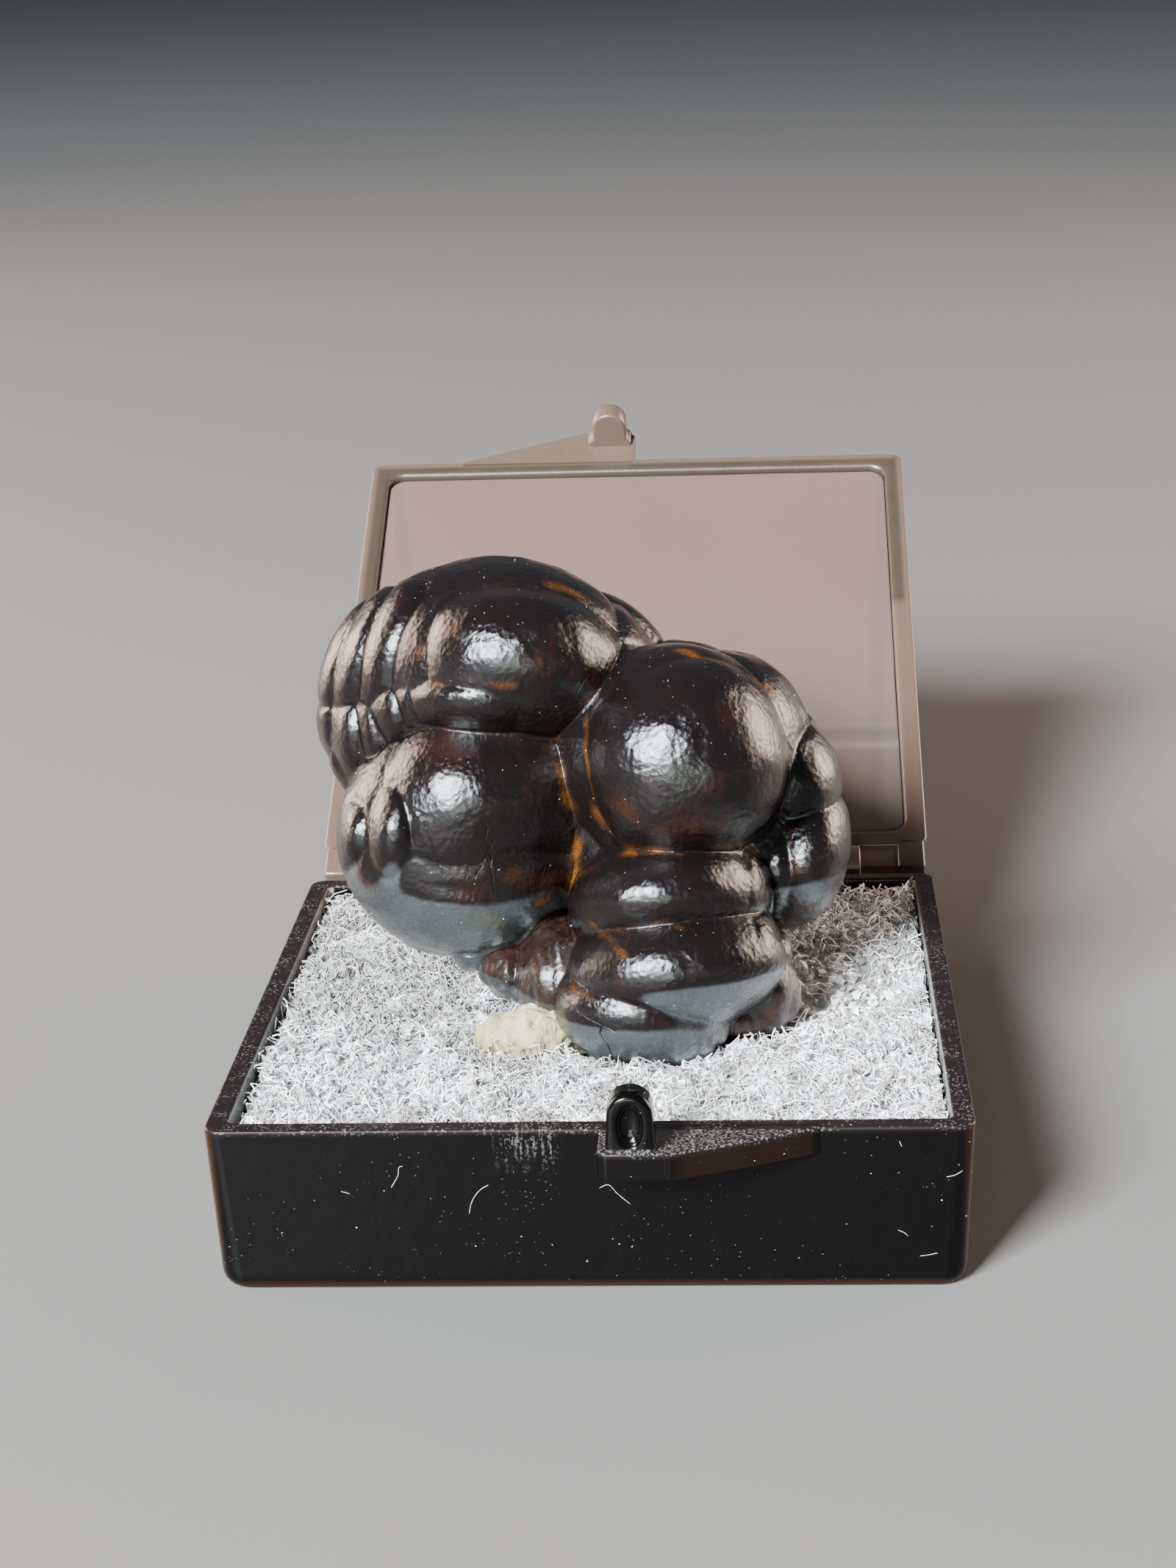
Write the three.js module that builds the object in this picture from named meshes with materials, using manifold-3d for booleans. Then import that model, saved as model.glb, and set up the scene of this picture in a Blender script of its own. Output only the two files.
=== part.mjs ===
// Kidney ore hematite fixed in a hinged plastic specimen box, shown open.
// Millimetres, +Z up, +X to the right of the catch side, the hinge at +Y.
// Origin: the middle of the tray's underside.

import * as THREE from 'three';
import { mergeVertices } from 'three/addons/utils/BufferGeometryUtils.js';
import Module from 'manifold-3d';

const wasm = await Module();
wasm.setup();

// Driving dimensions
const BOX_HALF = 15.875;       // half of the box's outer width at the rim
const TRAY_H = 7.4;            // tray height
const MOUTH_Z = 7.5;           // mouth plane of the lid when it is closed
const LID_TOP_Z = 15.85;       // top of the lid when it is closed
const CORNER_R = 0.7;          // upright corners of tray and lid
const FIT_GAP = 0.3;           // clearance between neighbouring pieces
const FOAM_TOP_Z = 6.9;        // foam surface, just under the tray's rim
const HINGE_Y = 17.9;          // hinge axis, behind the rear wall
const HINGE_Z = 7.0;
const OPEN_ANGLE = 151;        // degrees that the lid stands open
const KNUCKLE_R = 1.15;        // round ends of lugs and ears
const HOLE_R = 0.75;
const PIN_R = 0.6;
const LUG_X = 8.9;             // inner side of the tray's hinge lugs
const LUG_W = 1.7;
const LEAN = -17.1;            // the lobes lean towards the back
const TURN = 3.7;              // and turn a little about the upright axis

const rad = THREE.MathUtils.degToRad;

// A closed solid from any closed geometry
function solid(geometry) {
  const bare = geometry.clone();
  bare.deleteAttribute('normal');
  bare.deleteAttribute('uv');
  const merged = mergeVertices(bare, 1e-4);
  return new wasm.Manifold(new wasm.Mesh({
    numProp: 3,
    vertProperties: new Float32Array(merged.attributes.position.array),
    triVerts: new Uint32Array(merged.index.array),
  }));
}

function meshOf(name, body, material, placing = null) {
  const made = body.getMesh();
  const geometry = new THREE.BufferGeometry();
  geometry.setAttribute('position', new THREE.BufferAttribute(new Float32Array(made.vertProperties), 3));
  geometry.setIndex(new THREE.BufferAttribute(new Uint32Array(made.triVerts), 1));
  if (placing) geometry.applyMatrix4(placing);
  geometry.computeVertexNormals();
  const mesh = new THREE.Mesh(geometry, material);
  mesh.name = name;
  return mesh;
}

function roundedSquare(half, radius) {
  const shape = new THREE.Shape();
  const inner = half - radius;
  shape.moveTo(half, -inner);
  shape.lineTo(half, inner);
  shape.absarc(inner, inner, radius, 0, Math.PI / 2, false);
  shape.lineTo(-inner, half);
  shape.absarc(-inner, inner, radius, Math.PI / 2, Math.PI, false);
  shape.lineTo(-half, -inner);
  shape.absarc(-inner, -inner, radius, Math.PI, 1.5 * Math.PI, false);
  shape.lineTo(inner, -half);
  shape.absarc(inner, -inner, radius, 1.5 * Math.PI, 2 * Math.PI, false);
  return shape;
}

// A square block with rounded upright corners whose half width follows the levels [z, half]
function squareLoft(levels, radius, segments = 5) {
  const half = Math.max(...levels.map((level) => level[1]));
  const steps = levels.length - 1;
  const geometry = new THREE.ExtrudeGeometry(roundedSquare(half, radius), {
    depth: steps, steps, bevelEnabled: false, curveSegments: segments,
  });
  const position = geometry.attributes.position;
  for (let i = 0; i < position.count; i += 1) {
    const [z, width] = levels[Math.round(position.getZ(i))];
    position.setXYZ(i, position.getX(i) * width / half, position.getY(i) * width / half, z);
  }
  return solid(geometry);
}

// A flat outline in X and Y, raised from z0 to z1
function slab(points, z0, z1) {
  const shape = new THREE.Shape(points.map(([x, y]) => new THREE.Vector2(x, y)));
  const geometry = new THREE.ExtrudeGeometry(shape, { depth: z1 - z0, bevelEnabled: false });
  geometry.translate(0, 0, z0);
  return solid(geometry);
}

// A flat outline in X and Z, drawn out from y0 to y1
function upright(shape, y0, y1, segments = 8) {
  const geometry = new THREE.ExtrudeGeometry(shape, {
    depth: y1 - y0, bevelEnabled: false, curveSegments: segments,
  });
  geometry.rotateX(Math.PI / 2);
  geometry.translate(0, y1, 0);
  return solid(geometry);
}

// A post between x0 and x1 with one round end at the height zRound and a square foot at zFoot
function roundedPost(x0, x1, zFoot, zRound) {
  const shape = new THREE.Shape();
  const r = (x1 - x0) / 2 - 0.05;
  const up = Math.sign(zRound - zFoot);
  const zc = zRound - up * r;
  shape.moveTo(x0, zFoot);
  shape.lineTo(x0, zc);
  for (let i = 1; i < 8; i += 1) {
    const a = Math.PI * (1 - i / 8);
    shape.lineTo((x0 + x1) / 2 + (x1 - x0) / 2 * Math.cos(a), zc + up * r * Math.sin(a));
  }
  shape.lineTo(x1, zc);
  shape.lineTo(x1, zFoot);
  return shape;
}

// A plate across the hinge, from x0 to x1, drawn by its outline in Y and Z
function hingePlate(outline, x0, x1) {
  const shape = new THREE.Shape(outline.map(([y, z]) => new THREE.Vector2(y, z)));
  const geometry = new THREE.ExtrudeGeometry(shape, { depth: x1 - x0, bevelEnabled: false });
  geometry.applyMatrix4(new THREE.Matrix4().set(
    0, 0, 1, x0,
    1, 0, 0, 0,
    0, 1, 0, 0,
    0, 0, 0, 1,
  ));
  return solid(geometry);
}

function hingeRod(radius, x0, x1, sides = 20) {
  const geometry = new THREE.CylinderGeometry(radius, radius, x1 - x0, sides);
  geometry.rotateZ(Math.PI / 2);
  geometry.translate((x0 + x1) / 2, HINGE_Y, HINGE_Z);
  return solid(geometry);
}

function knuckleArc(fromDeg, toDeg, steps) {
  const points = [];
  for (let i = 0; i <= steps; i += 1) {
    const a = rad(fromDeg + (toDeg - fromDeg) * i / steps);
    points.push([HINGE_Y + KNUCKLE_R * Math.cos(a), HINGE_Z + KNUCKLE_R * Math.sin(a)]);
  }
  return points;
}

// A fullness above 2 swells the rounded solid towards its box, and facing raises and turns its front end
function ellipsoid([x, y, z], [rx, ry, rz], tip = 0, grow = 0, detail = 3, fullness = 2, facing = [0, 0]) {
  const geometry = new THREE.IcosahedronGeometry(1, detail);
  const position = geometry.attributes.position;
  for (let i = 0; i < position.count; i += 1) {
    const at = [position.getX(i), position.getY(i), position.getZ(i)];
    const reach = at.reduce((sum, value) => sum + Math.abs(value) ** fullness, 0) ** (-1 / fullness);
    position.setXYZ(i, at[0] * reach, at[1] * reach, at[2] * reach);
  }
  geometry.scale(rx * 1.012 + grow, ry * 1.012 + grow, rz * 1.012 + grow);
  const turn = new THREE.Euler(rad(LEAN - facing[0]), rad(tip), rad(TURN + facing[1]), 'ZXY');
  geometry.applyMatrix4(new THREE.Matrix4().makeRotationFromEuler(turn));
  geometry.translate(x, y, z);
  return solid(geometry);
}

// Tray

function buildTray() {
  let tray = squareLoft([[0, 15.2], [0.2, 15.48], [0.6, 15.63], [TRAY_H, BOX_HALF]], CORNER_R);
  tray = tray.subtract(squareLoft([[1.0, 14.72], [TRAY_H + 0.2, 14.98]], 0.4, 4));

  const shelf = slab([
    [0.55, -15.4], [0.55, -18.1], [0.85, -18.4], [3.5, -18.4], [6.4, -17.3], [9.6, -15.85], [9.6, -15.4],
  ], 6.2, TRAY_H);
  tray = tray.add(shelf);

  // the catch peg stands on the shelf; a shallow oval dimple is pressed in its face
  let peg = upright(roundedPost(0.88, 2.94, 6.7, 9.9), -18.3, -17.05);
  const dimple = new THREE.SphereGeometry(1, 12, 8);
  dimple.scale(0.52, 0.40, 0.92);
  dimple.translate(1.91, -18.42, 8.52);
  peg = peg.subtract(solid(dimple));
  tray = tray.add(peg);

  const lugOutline = [[15.5, 5.4], [16.6, 5.6], ...knuckleArc(-70, 110, 10), [16.3, 7.35], [15.5, 7.3]];
  for (const x0 of [LUG_X, -LUG_X - LUG_W]) {
    const lug = hingePlate(lugOutline, x0, x0 + LUG_W).subtract(hingeRod(HOLE_R, x0 - 0.3, x0 + 2));
    tray = tray.add(lug);
  }
  return tray;
}

// Lid and pad are drawn closed and then turned open about the hinge axis

const openLid = new THREE.Matrix4().makeTranslation(0, HINGE_Y, HINGE_Z)
  .multiply(new THREE.Matrix4().makeRotationX(rad(-OPEN_ANGLE)))
  .multiply(new THREE.Matrix4().makeTranslation(0, -HINGE_Y, -HINGE_Z));

function buildLid() {
  let lid = squareLoft([
    [MOUTH_Z, BOX_HALF], [13.3, 15.64], [14.5, 15.36], [15.3, 14.8], [15.72, 14.1], [LID_TOP_Z, 13.3],
  ], CORNER_R);
  lid = lid.subtract(squareLoft([
    [MOUTH_Z - 0.2, 14.78], [13.1, 14.52], [13.9, 14.24], [14.4, 13.8], [14.7, 13.1],
  ], 0.9, 4));

  const ramp = slab([
    [-10.5, -15.4], [-10.5, -15.9], [-3.2, -18.4], [-0.4, -18.4], [-0.1, -18.1], [-0.1, -15.4],
  ], MOUTH_Z, MOUTH_Z + 0.85);
  const root = slab([[-3.0, -17.1], [-3.0, -18.3], [-0.2, -18.3], [-0.2, -17.1]], MOUTH_Z - 0.35, MOUTH_Z + 0.4);
  const tab = upright(roundedPost(-2.6, -0.6, MOUTH_Z + 0.4, MOUTH_Z - 2.35), -18.3, -17.1);
  lid = lid.add(ramp).add(root).add(tab);

  // a skirt along the hinge side, notched round the tray's lugs, with a thicker end at each corner
  const notchIn = LUG_X - FIT_GAP;
  const notchOut = LUG_X + LUG_W + FIT_GAP;
  const skirt = slab([
    [-14.4, 15.4], [14.4, 15.4], [14.4, 17.3], [notchOut, 17.3], [notchOut, 16.3], [notchIn, 16.3],
    [notchIn, 17.3], [-notchIn, 17.3], [-notchIn, 16.3], [-notchOut, 16.3], [-notchOut, 17.3], [-14.4, 17.3],
  ], MOUTH_Z + 0.08, MOUTH_Z + 0.85);
  lid = lid.add(skirt);

  const earOutline = [[15.3, 7.7], [16.5, 7.62], ...knuckleArc(160, 400, 12), [16.6, 9.6], [15.3, 10.8]];
  for (const side of [1, -1]) {
    const span = (low, high) => (side > 0 ? [low, high] : [-high, -low]);
    const [end0, end1] = span(14.3, 15.7);
    const end = slab([[end0, 15.4], [end1, 15.4], [end1, 17.4], [end0, 17.4]], MOUTH_Z, MOUTH_Z + 0.9);
    const ear = hingePlate(earOutline, ...span(notchOut, notchOut + 1.4));
    const pin = hingeRod(PIN_R, ...span(LUG_X + 0.4, notchOut + 0.3), 16);
    lid = lid.add(end).add(ear).add(pin);
  }
  return lid;
}

// The pad ends 0.35 mm under the lid's rim

function buildPad() {
  return squareLoft([
    [MOUTH_Z + 0.35, 14.44], [13.0, 14.21], [13.7, 13.9], [14.4, 12.9],
  ], 0.7, 4);
}

// Hematite: fused rounded lobes, each [centre, radii, tip in degrees, detail]

const LOBES = {
  crownBack: [[-4.7, 5.0, 21.5], [6.25, 6.5, 5.0], 5, 3],
  crownRearRight: [[-1.2, 5.5, 19.9], [3.85, 5.5, 4.5], 8, 2],
  crownMiddle: [[-4.4, 3.0, 22.05], [5.5, 6.0, 3.8], 6, 3],
  crownFront: [[-3.55, 1.4, 22.3], [4.55, 5.6, 3.3], 8, 3],
  crownLip: [[-4.9, 0.9, 20.95], [3.6, 4.85, 1.65], 2, 2],
  flankBack: [[-9.28, 5.9, 20.6], [3.4, 4.3, 4.25], 16, 2],
  flankOuter: [[-11.62, 5.6, 21.85], [1.05, 2.7, 2.6], 26, 1],
  flankSecond: [[-10.51, 4.1, 22.58], [1.15, 3.0, 2.9], 24, 1],
  flankThird: [[-8.97, 2.9, 23.04], [1.5, 3.3, 3.15], 22, 1],
  flankFourth: [[-7.94, 1.3, 21.02], [1.1, 2.8, 1.75], 8, 1],
  flankLowOuter: [[-12.43, 5.8, 18.5], [0.9, 2.7, 1.7], -6, 1],
  flankLowSecond: [[-11.25, 4.0, 18.7], [1.1, 3.0, 2.0], 5, 1],
  flankLowThird: [[-10.15, 2.9, 19.1], [0.9, 2.8, 1.75], -4, 1],
  flankLowFourth: [[-9.06, 1.9, 20.2], [1.1, 2.9, 1.55], -12, 1],
  flankTail: [[-11.9, 5.3, 17.05], [0.9, 2.6, 1.7], -12, 1],
  bigLeftShell: [[-6.35, 1.8, 14.35], [5.55, 6.0, 5.15], 2, 3],
  bigLeft: [[-5.72, 0.85, 14.7], [4.85, 6.5, 4.0], -4, 3],
  bigLeftLow: [[-6.5, 1.2, 12.25], [4.45, 5.5, 2.9], 14, 2],
  sideOuter: [[-10.7, 0.6, 15.0], [1.1, 3.3, 2.0], 10, 1],
  sideInner: [[-8.95, -1.05, 15.6], [1.3, 3.5, 2.5], 10, 1],
  bigRightShell: [[3.15, 0.6, 18.4], [5.0, 6.0, 4.9], -28, 3],
  bigRight: [[3.82, -1.2, 18.65], [4.45, 5.3, 4.38], -23, 3],
  shoulderBack: [[5.65, 4.0, 18.3], [3.65, 5.5, 3.8], 22, 2],
  shoulderFront: [[5.05, 2.6, 17.9], [3.8, 5.5, 3.95], 22, 2],
  rightUpper: [[8.9, 3.7, 16.1], [2.0, 4.2, 2.6], -4, 1],
  rightLower: [[9.2, 3.2, 12.75], [2.05, 4.7, 3.3], 14, 1],
  rightInner: [[8.0, 1.6, 12.8], [0.9, 3.0, 2.2], -2, 1],
  rightCore: [[7.7, 4.4, 14.4], [2.8, 4.6, 5.2], 6, 2],
  belly: [[2.95, -2.7, 12.7], [4.2, 4.8, 2.45], -4, 2],
  bellyRight: [[6.15, -1.2, 12.6], [1.3, 3.6, 1.9], 2, 1],
  coreRight: [[4.7, 4.0, 12.95], [5.5, 6.0, 4.3], 2, 2],
  coreLeft: [[-4.25, 5.0, 15.3], [6.9, 6.0, 5.2], 2, 2],
  coreFront: [[-0.1, 1.9, 15.0], [1.9, 4.2, 3.4], 0, 1],
  coreLow: [[2.65, 0.5, 9.15], [3.9, 5.0, 3.2], 2, 2],
  trunk: [[3.0, -1.0, 11.2], [4.0, 5.1, 4.6], 0, 2],
  apron: [[3.45, -4.45, 10.2], [4.6, 4.5, 2.7], -3, 2],
  apronRight: [[6.6, -3.2, 10.4], [1.35, 3.25, 1.75], 2, 1],
  foot: [[1.85, -4.85, 8.15], [3.75, 3.85, 2.5], 8, 2],
  footRight: [[4.05, -4.6, 7.35], [1.45, 3.0, 1.25], -8, 1],
  brownKnob: [[7.4, -2.6, 8.05], [1.5, 2.5, 1.8], 2, 1],
  brownKnobLow: [[6.2, -3.0, 6.9], [1.4, 2.25, 0.95], -8, 1],
  brownBud: [[7.85, -0.8, 9.45], [0.7, 2.6, 1.0], 2, 1],
  stalk: [[-1.9, -1.7, 8.55], [1.95, 3.2, 2.6], 2, 1],
  knobLeft: [[-6.1, 0.4, 9.1], [0.75, 1.75, 0.8], 2, 1],
  knobMiddle: [[-4.4, -0.6, 8.6], [1.2, 2.25, 1.15], 22, 1],
  knobDark: [[-3.3, -1.2, 8.0], [1.0, 2.0, 0.7], 2, 1],
  backLeft: [[-7.2, 7.6, 16.6], [4.2, 4.0, 4.8], -8, 2],
  backLeftLow: [[-6.4, 7.0, 12.2], [3.4, 3.4, 2.8], 0, 1],
  backLeftTop: [[-7.6, 6.8, 21.6], [3.4, 3.8, 3.2], 0, 1],
  backMiddle: [[-0.8, 9.6, 15.4], [3.6, 3.0, 3.4], 0, 1],
  backTop: [[-1.6, 8.2, 20.2], [4.6, 4.0, 4.0], 0, 2],
  backRight: [[5.0, 8.0, 14.6], [4.8, 3.8, 4.6], 14, 2],
  backRightTop: [[3.6, 7.4, 18.8], [3.2, 3.6, 3.0], 0, 1],
  backLow: [[-1.0, 7.4, 10.6], [4.8, 4.2, 3.2], 0, 2],
  backLowRight: [[4.6, 4.6, 9.0], [3.4, 3.6, 2.6], 0, 1],
};

// Lobes fuller than an ellipsoid, which has 2
const FULLNESS = {
  crownFront: 2.2, bigLeftShell: 2.2, bigLeft: 2.4, bigRight: 2.2, trunk: 2.2,
};

// Degrees by which a lobe's front end is raised and turned to the right
const FACING = { bigLeft: [37, 18], crownFront: [8, 0], belly: [6, 0] };

function buildSpecimen(grow = 0) {
  return Object.entries(LOBES)
    .map(([name, [centre, radii, tip, detail]]) => (
      ellipsoid(centre, radii, tip, grow, grow > 0 ? 1 : detail, FULLNESS[name], FACING[name])
    ))
    .reduce((whole, lobe) => whole.add(lobe));
}

// Putty: three pressed lumps under the left of the foot

const LUMPS = [
  [[-4.1, -4.6, 6.8], [1.6, 1.4, 1.1]],
  [[-2.7, -4.5, 7.0], [1.7, 1.8, 1.4]],
  [[-1.6, -3.4, 7.0], [1.6, 1.9, 1.5]],
];

function buildTack(grow = 0) {
  return LUMPS
    .map(([centre, radii]) => ellipsoid(centre, radii, 0, grow, 2))
    .reduce((whole, lump) => whole.add(lump));
}

const specimen = buildSpecimen();
const roomForSpecimen = buildSpecimen(FIT_GAP + 0.1);
const tack = buildTack().subtract(roomForSpecimen);
const foam = squareLoft([[1.0 + FIT_GAP, 14.42], [FOAM_TOP_Z, 14.66]], 0.6, 4)
  .subtract(roomForSpecimen)
  .subtract(buildTack(FIT_GAP));

const materials = {
  tray: new THREE.MeshStandardMaterial({ color: 0x0d0c0d, roughness: 0.3 }),
  lid: new THREE.MeshStandardMaterial({ color: 0x967e6d, roughness: 0.35 }),
  pad: new THREE.MeshStandardMaterial({ color: 0xb29b95, roughness: 0.6 }),
  foam: new THREE.MeshStandardMaterial({ color: 0xc9ccca, roughness: 0.9 }),
  tack: new THREE.MeshStandardMaterial({ color: 0xc8c396, roughness: 0.8 }),
  hematite: new THREE.MeshStandardMaterial({ color: 0x1c1213, roughness: 0.25, metalness: 0.3 }),
};

const group = new THREE.Group();
group.name = 'kidney_ore_hematite';
group.add(
  meshOf('base_tray', buildTray(), materials.tray),
  meshOf('lid_shell', buildLid(), materials.lid, openLid),
  meshOf('lid_pad', buildPad(), materials.pad, openLid),
  meshOf('foam_insert', foam, materials.foam),
  meshOf('mineral_tack', tack, materials.tack),
  meshOf('hematite_specimen', specimen, materials.hematite),
);

export default group;
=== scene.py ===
import math

import bmesh
import bpy
import numpy as np
from bpy.props import FloatProperty, FloatVectorProperty, IntProperty, PointerProperty
from mathutils import Matrix, Vector


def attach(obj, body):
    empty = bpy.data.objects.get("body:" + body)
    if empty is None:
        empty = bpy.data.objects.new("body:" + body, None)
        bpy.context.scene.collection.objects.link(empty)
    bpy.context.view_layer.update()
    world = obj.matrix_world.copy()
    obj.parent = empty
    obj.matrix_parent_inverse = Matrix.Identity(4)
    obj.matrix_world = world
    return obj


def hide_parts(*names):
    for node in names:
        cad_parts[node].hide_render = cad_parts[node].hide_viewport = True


bl_info = {
    "name": "Kidney Ore in a Specimen Box",
    "version": (1, 0, 0),
    "blender": (4, 5, 0),
    "location": "View3D > Sidebar > Specimen",
    "description": "Glossy kidney ore hematite on shredded foam in a hinged plastic box",
    "category": "Object",
}

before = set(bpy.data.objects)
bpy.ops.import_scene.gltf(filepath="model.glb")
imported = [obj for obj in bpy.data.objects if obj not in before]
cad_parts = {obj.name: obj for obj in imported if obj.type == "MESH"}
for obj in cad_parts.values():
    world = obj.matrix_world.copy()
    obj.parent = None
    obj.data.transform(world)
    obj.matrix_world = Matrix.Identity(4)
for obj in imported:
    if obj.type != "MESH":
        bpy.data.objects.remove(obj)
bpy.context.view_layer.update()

MM = 0.001
BOX = "box"
LID = "lid"


# Box dimensions, in millimetres, with the lid's own levels as it is when closed

BOX_HALF = 15.875
TRAY_H = 7.4
TRAY_CORNER = 0.7
MOUTH_Z = 7.5
LID_TOP_Z = 15.85
HINGE_Y = 17.9
HINGE_Z = 7.0
OPEN_ANGLE = 151.0
KNUCKLE_R = 1.15
PIN_R = 0.6
LUG_X = 8.9
LUG_W = 1.7
FIT_GAP = 0.3
FOAM_TOP_Z = 6.9
FOAM_HALF = 14.84


# Hematite: how far every lobe leans back and is turned, in degrees, and how much larger it is than its
# radii, as in the solids
LEAN = -17.1
TURN = 3.7
LOBE_SCALE = 1.012

# Its fused rounded lobes, each [centre, radii, tip in degrees]
LOBES = {
    "crown_back": [(-4.7, 5.0, 21.5), (6.25, 6.5, 5.0), 5],
    "crown_rear_right": [(-1.2, 5.5, 19.9), (3.85, 5.5, 4.5), 8],
    "crown_middle": [(-4.4, 3.0, 22.05), (5.5, 6.0, 3.8), 6],
    "crown_front": [(-3.55, 1.4, 22.3), (4.55, 5.6, 3.3), 8],
    "crown_lip": [(-4.9, 0.9, 20.95), (3.6, 4.85, 1.65), 2],
    "flank_back": [(-9.28, 5.9, 20.6), (3.4, 4.3, 4.25), 16],
    "flank_outer": [(-11.62, 5.6, 21.85), (1.05, 2.7, 2.6), 26],
    "flank_second": [(-10.51, 4.1, 22.58), (1.15, 3.0, 2.9), 24],
    "flank_third": [(-8.97, 2.9, 23.04), (1.5, 3.3, 3.15), 22],
    "flank_fourth": [(-7.94, 1.3, 21.02), (1.1, 2.8, 1.75), 8],
    "flank_low_outer": [(-12.43, 5.8, 18.5), (0.9, 2.7, 1.7), -6],
    "flank_low_second": [(-11.25, 4.0, 18.7), (1.1, 3.0, 2.0), 5],
    "flank_low_third": [(-10.15, 2.9, 19.1), (0.9, 2.8, 1.75), -4],
    "flank_low_fourth": [(-9.06, 1.9, 20.2), (1.1, 2.9, 1.55), -12],
    "flank_tail": [(-11.9, 5.3, 17.05), (0.9, 2.6, 1.7), -12],
    "big_left_shell": [(-6.35, 1.8, 14.35), (5.55, 6.0, 5.15), 2],
    "big_left": [(-5.72, 0.85, 14.7), (4.85, 6.5, 4.0), -4],
    "big_left_low": [(-6.5, 1.2, 12.25), (4.45, 5.5, 2.9), 14],
    "side_outer": [(-10.7, 0.6, 15.0), (1.1, 3.3, 2.0), 10],
    "side_inner": [(-8.95, -1.05, 15.6), (1.3, 3.5, 2.5), 10],
    "big_right_shell": [(3.15, 0.6, 18.4), (5.0, 6.0, 4.9), -28],
    "big_right": [(3.82, -1.2, 18.65), (4.45, 5.3, 4.38), -23],
    "shoulder_back": [(5.65, 4.0, 18.3), (3.65, 5.5, 3.8), 22],
    "shoulder_front": [(5.05, 2.6, 17.9), (3.8, 5.5, 3.95), 22],
    "right_upper": [(8.9, 3.7, 16.1), (2.0, 4.2, 2.6), -4],
    "right_lower": [(9.2, 3.2, 12.75), (2.05, 4.7, 3.3), 14],
    "right_inner": [(8.0, 1.6, 12.8), (0.9, 3.0, 2.2), -2],
    "right_core": [(7.7, 4.4, 14.4), (2.8, 4.6, 5.2), 6],
    "belly": [(2.95, -2.7, 12.7), (4.2, 4.8, 2.45), -4],
    "belly_right": [(6.15, -1.2, 12.6), (1.3, 3.6, 1.9), 2],
    "core_right": [(4.7, 4.0, 12.95), (5.5, 6.0, 4.3), 2],
    "core_left": [(-4.25, 5.0, 15.3), (6.9, 6.0, 5.2), 2],
    "core_front": [(-0.1, 1.9, 15.0), (1.9, 4.2, 3.4), 0],
    "core_low": [(2.65, 0.5, 9.15), (3.9, 5.0, 3.2), 2],
    "trunk": [(3.0, -1.0, 11.2), (4.0, 5.1, 4.6), 0],
    "apron": [(3.45, -4.45, 10.2), (4.6, 4.5, 2.7), -3],
    "apron_right": [(6.6, -3.2, 10.4), (1.35, 3.25, 1.75), 2],
    "foot": [(1.85, -4.85, 8.15), (3.75, 3.85, 2.5), 8],
    "foot_right": [(4.05, -4.6, 7.35), (1.45, 3.0, 1.25), -8],
    "brown_knob": [(7.4, -2.6, 8.05), (1.5, 2.5, 1.8), 2],
    "brown_knob_low": [(6.2, -3.0, 6.9), (1.4, 2.25, 0.95), -8],
    "brown_bud": [(7.85, -0.8, 9.45), (0.7, 2.6, 1.0), 2],
    "stalk": [(-1.9, -1.7, 8.55), (1.95, 3.2, 2.6), 2],
    "knob_left": [(-6.1, 0.4, 9.1), (0.75, 1.75, 0.8), 2],
    "knob_middle": [(-4.4, -0.6, 8.6), (1.2, 2.25, 1.15), 22],
    "knob_dark": [(-3.3, -1.2, 8.0), (1.0, 2.0, 0.7), 2],
    "back_left": [(-7.2, 7.6, 16.6), (4.2, 4.0, 4.8), -8],
    "back_left_low": [(-6.4, 7.0, 12.2), (3.4, 3.4, 2.8), 0],
    "back_left_top": [(-7.6, 6.8, 21.6), (3.4, 3.8, 3.2), 0],
    "back_middle": [(-0.8, 9.6, 15.4), (3.6, 3.0, 3.4), 0],
    "back_top": [(-1.6, 8.2, 20.2), (4.6, 4.0, 4.0), 0],
    "back_right": [(5.0, 8.0, 14.6), (4.8, 3.8, 4.6), 14],
    "back_right_top": [(3.6, 7.4, 18.8), (3.2, 3.6, 3.0), 0],
    "back_low": [(-1.0, 7.4, 10.6), (4.8, 4.2, 3.2), 0],
    "back_low_right": [(4.6, 4.6, 9.0), (3.4, 3.6, 2.6), 0],
}

# Lobes fuller than an ellipsoid, which has 2
FULLNESS = {
    "crown_front": 2.2, "big_left_shell": 2.2, "big_left": 2.4, "big_right": 2.2, "trunk": 2.2,
}

# Degrees by which a lobe's front end is raised and turned to the right
FACING = {"big_left": (37, 18), "crown_front": (8, 0), "belly": (6, 0)}

# Brown lobes near the foot, and how brown each one is
BROWN_LOBES = {
    "brown_knob": 1.0, "brown_knob_low": 1.0, "brown_bud": 1.0,
    "foot_right": 0.6, "stalk": 0.4, "knob_middle": 0.35,
}

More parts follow.
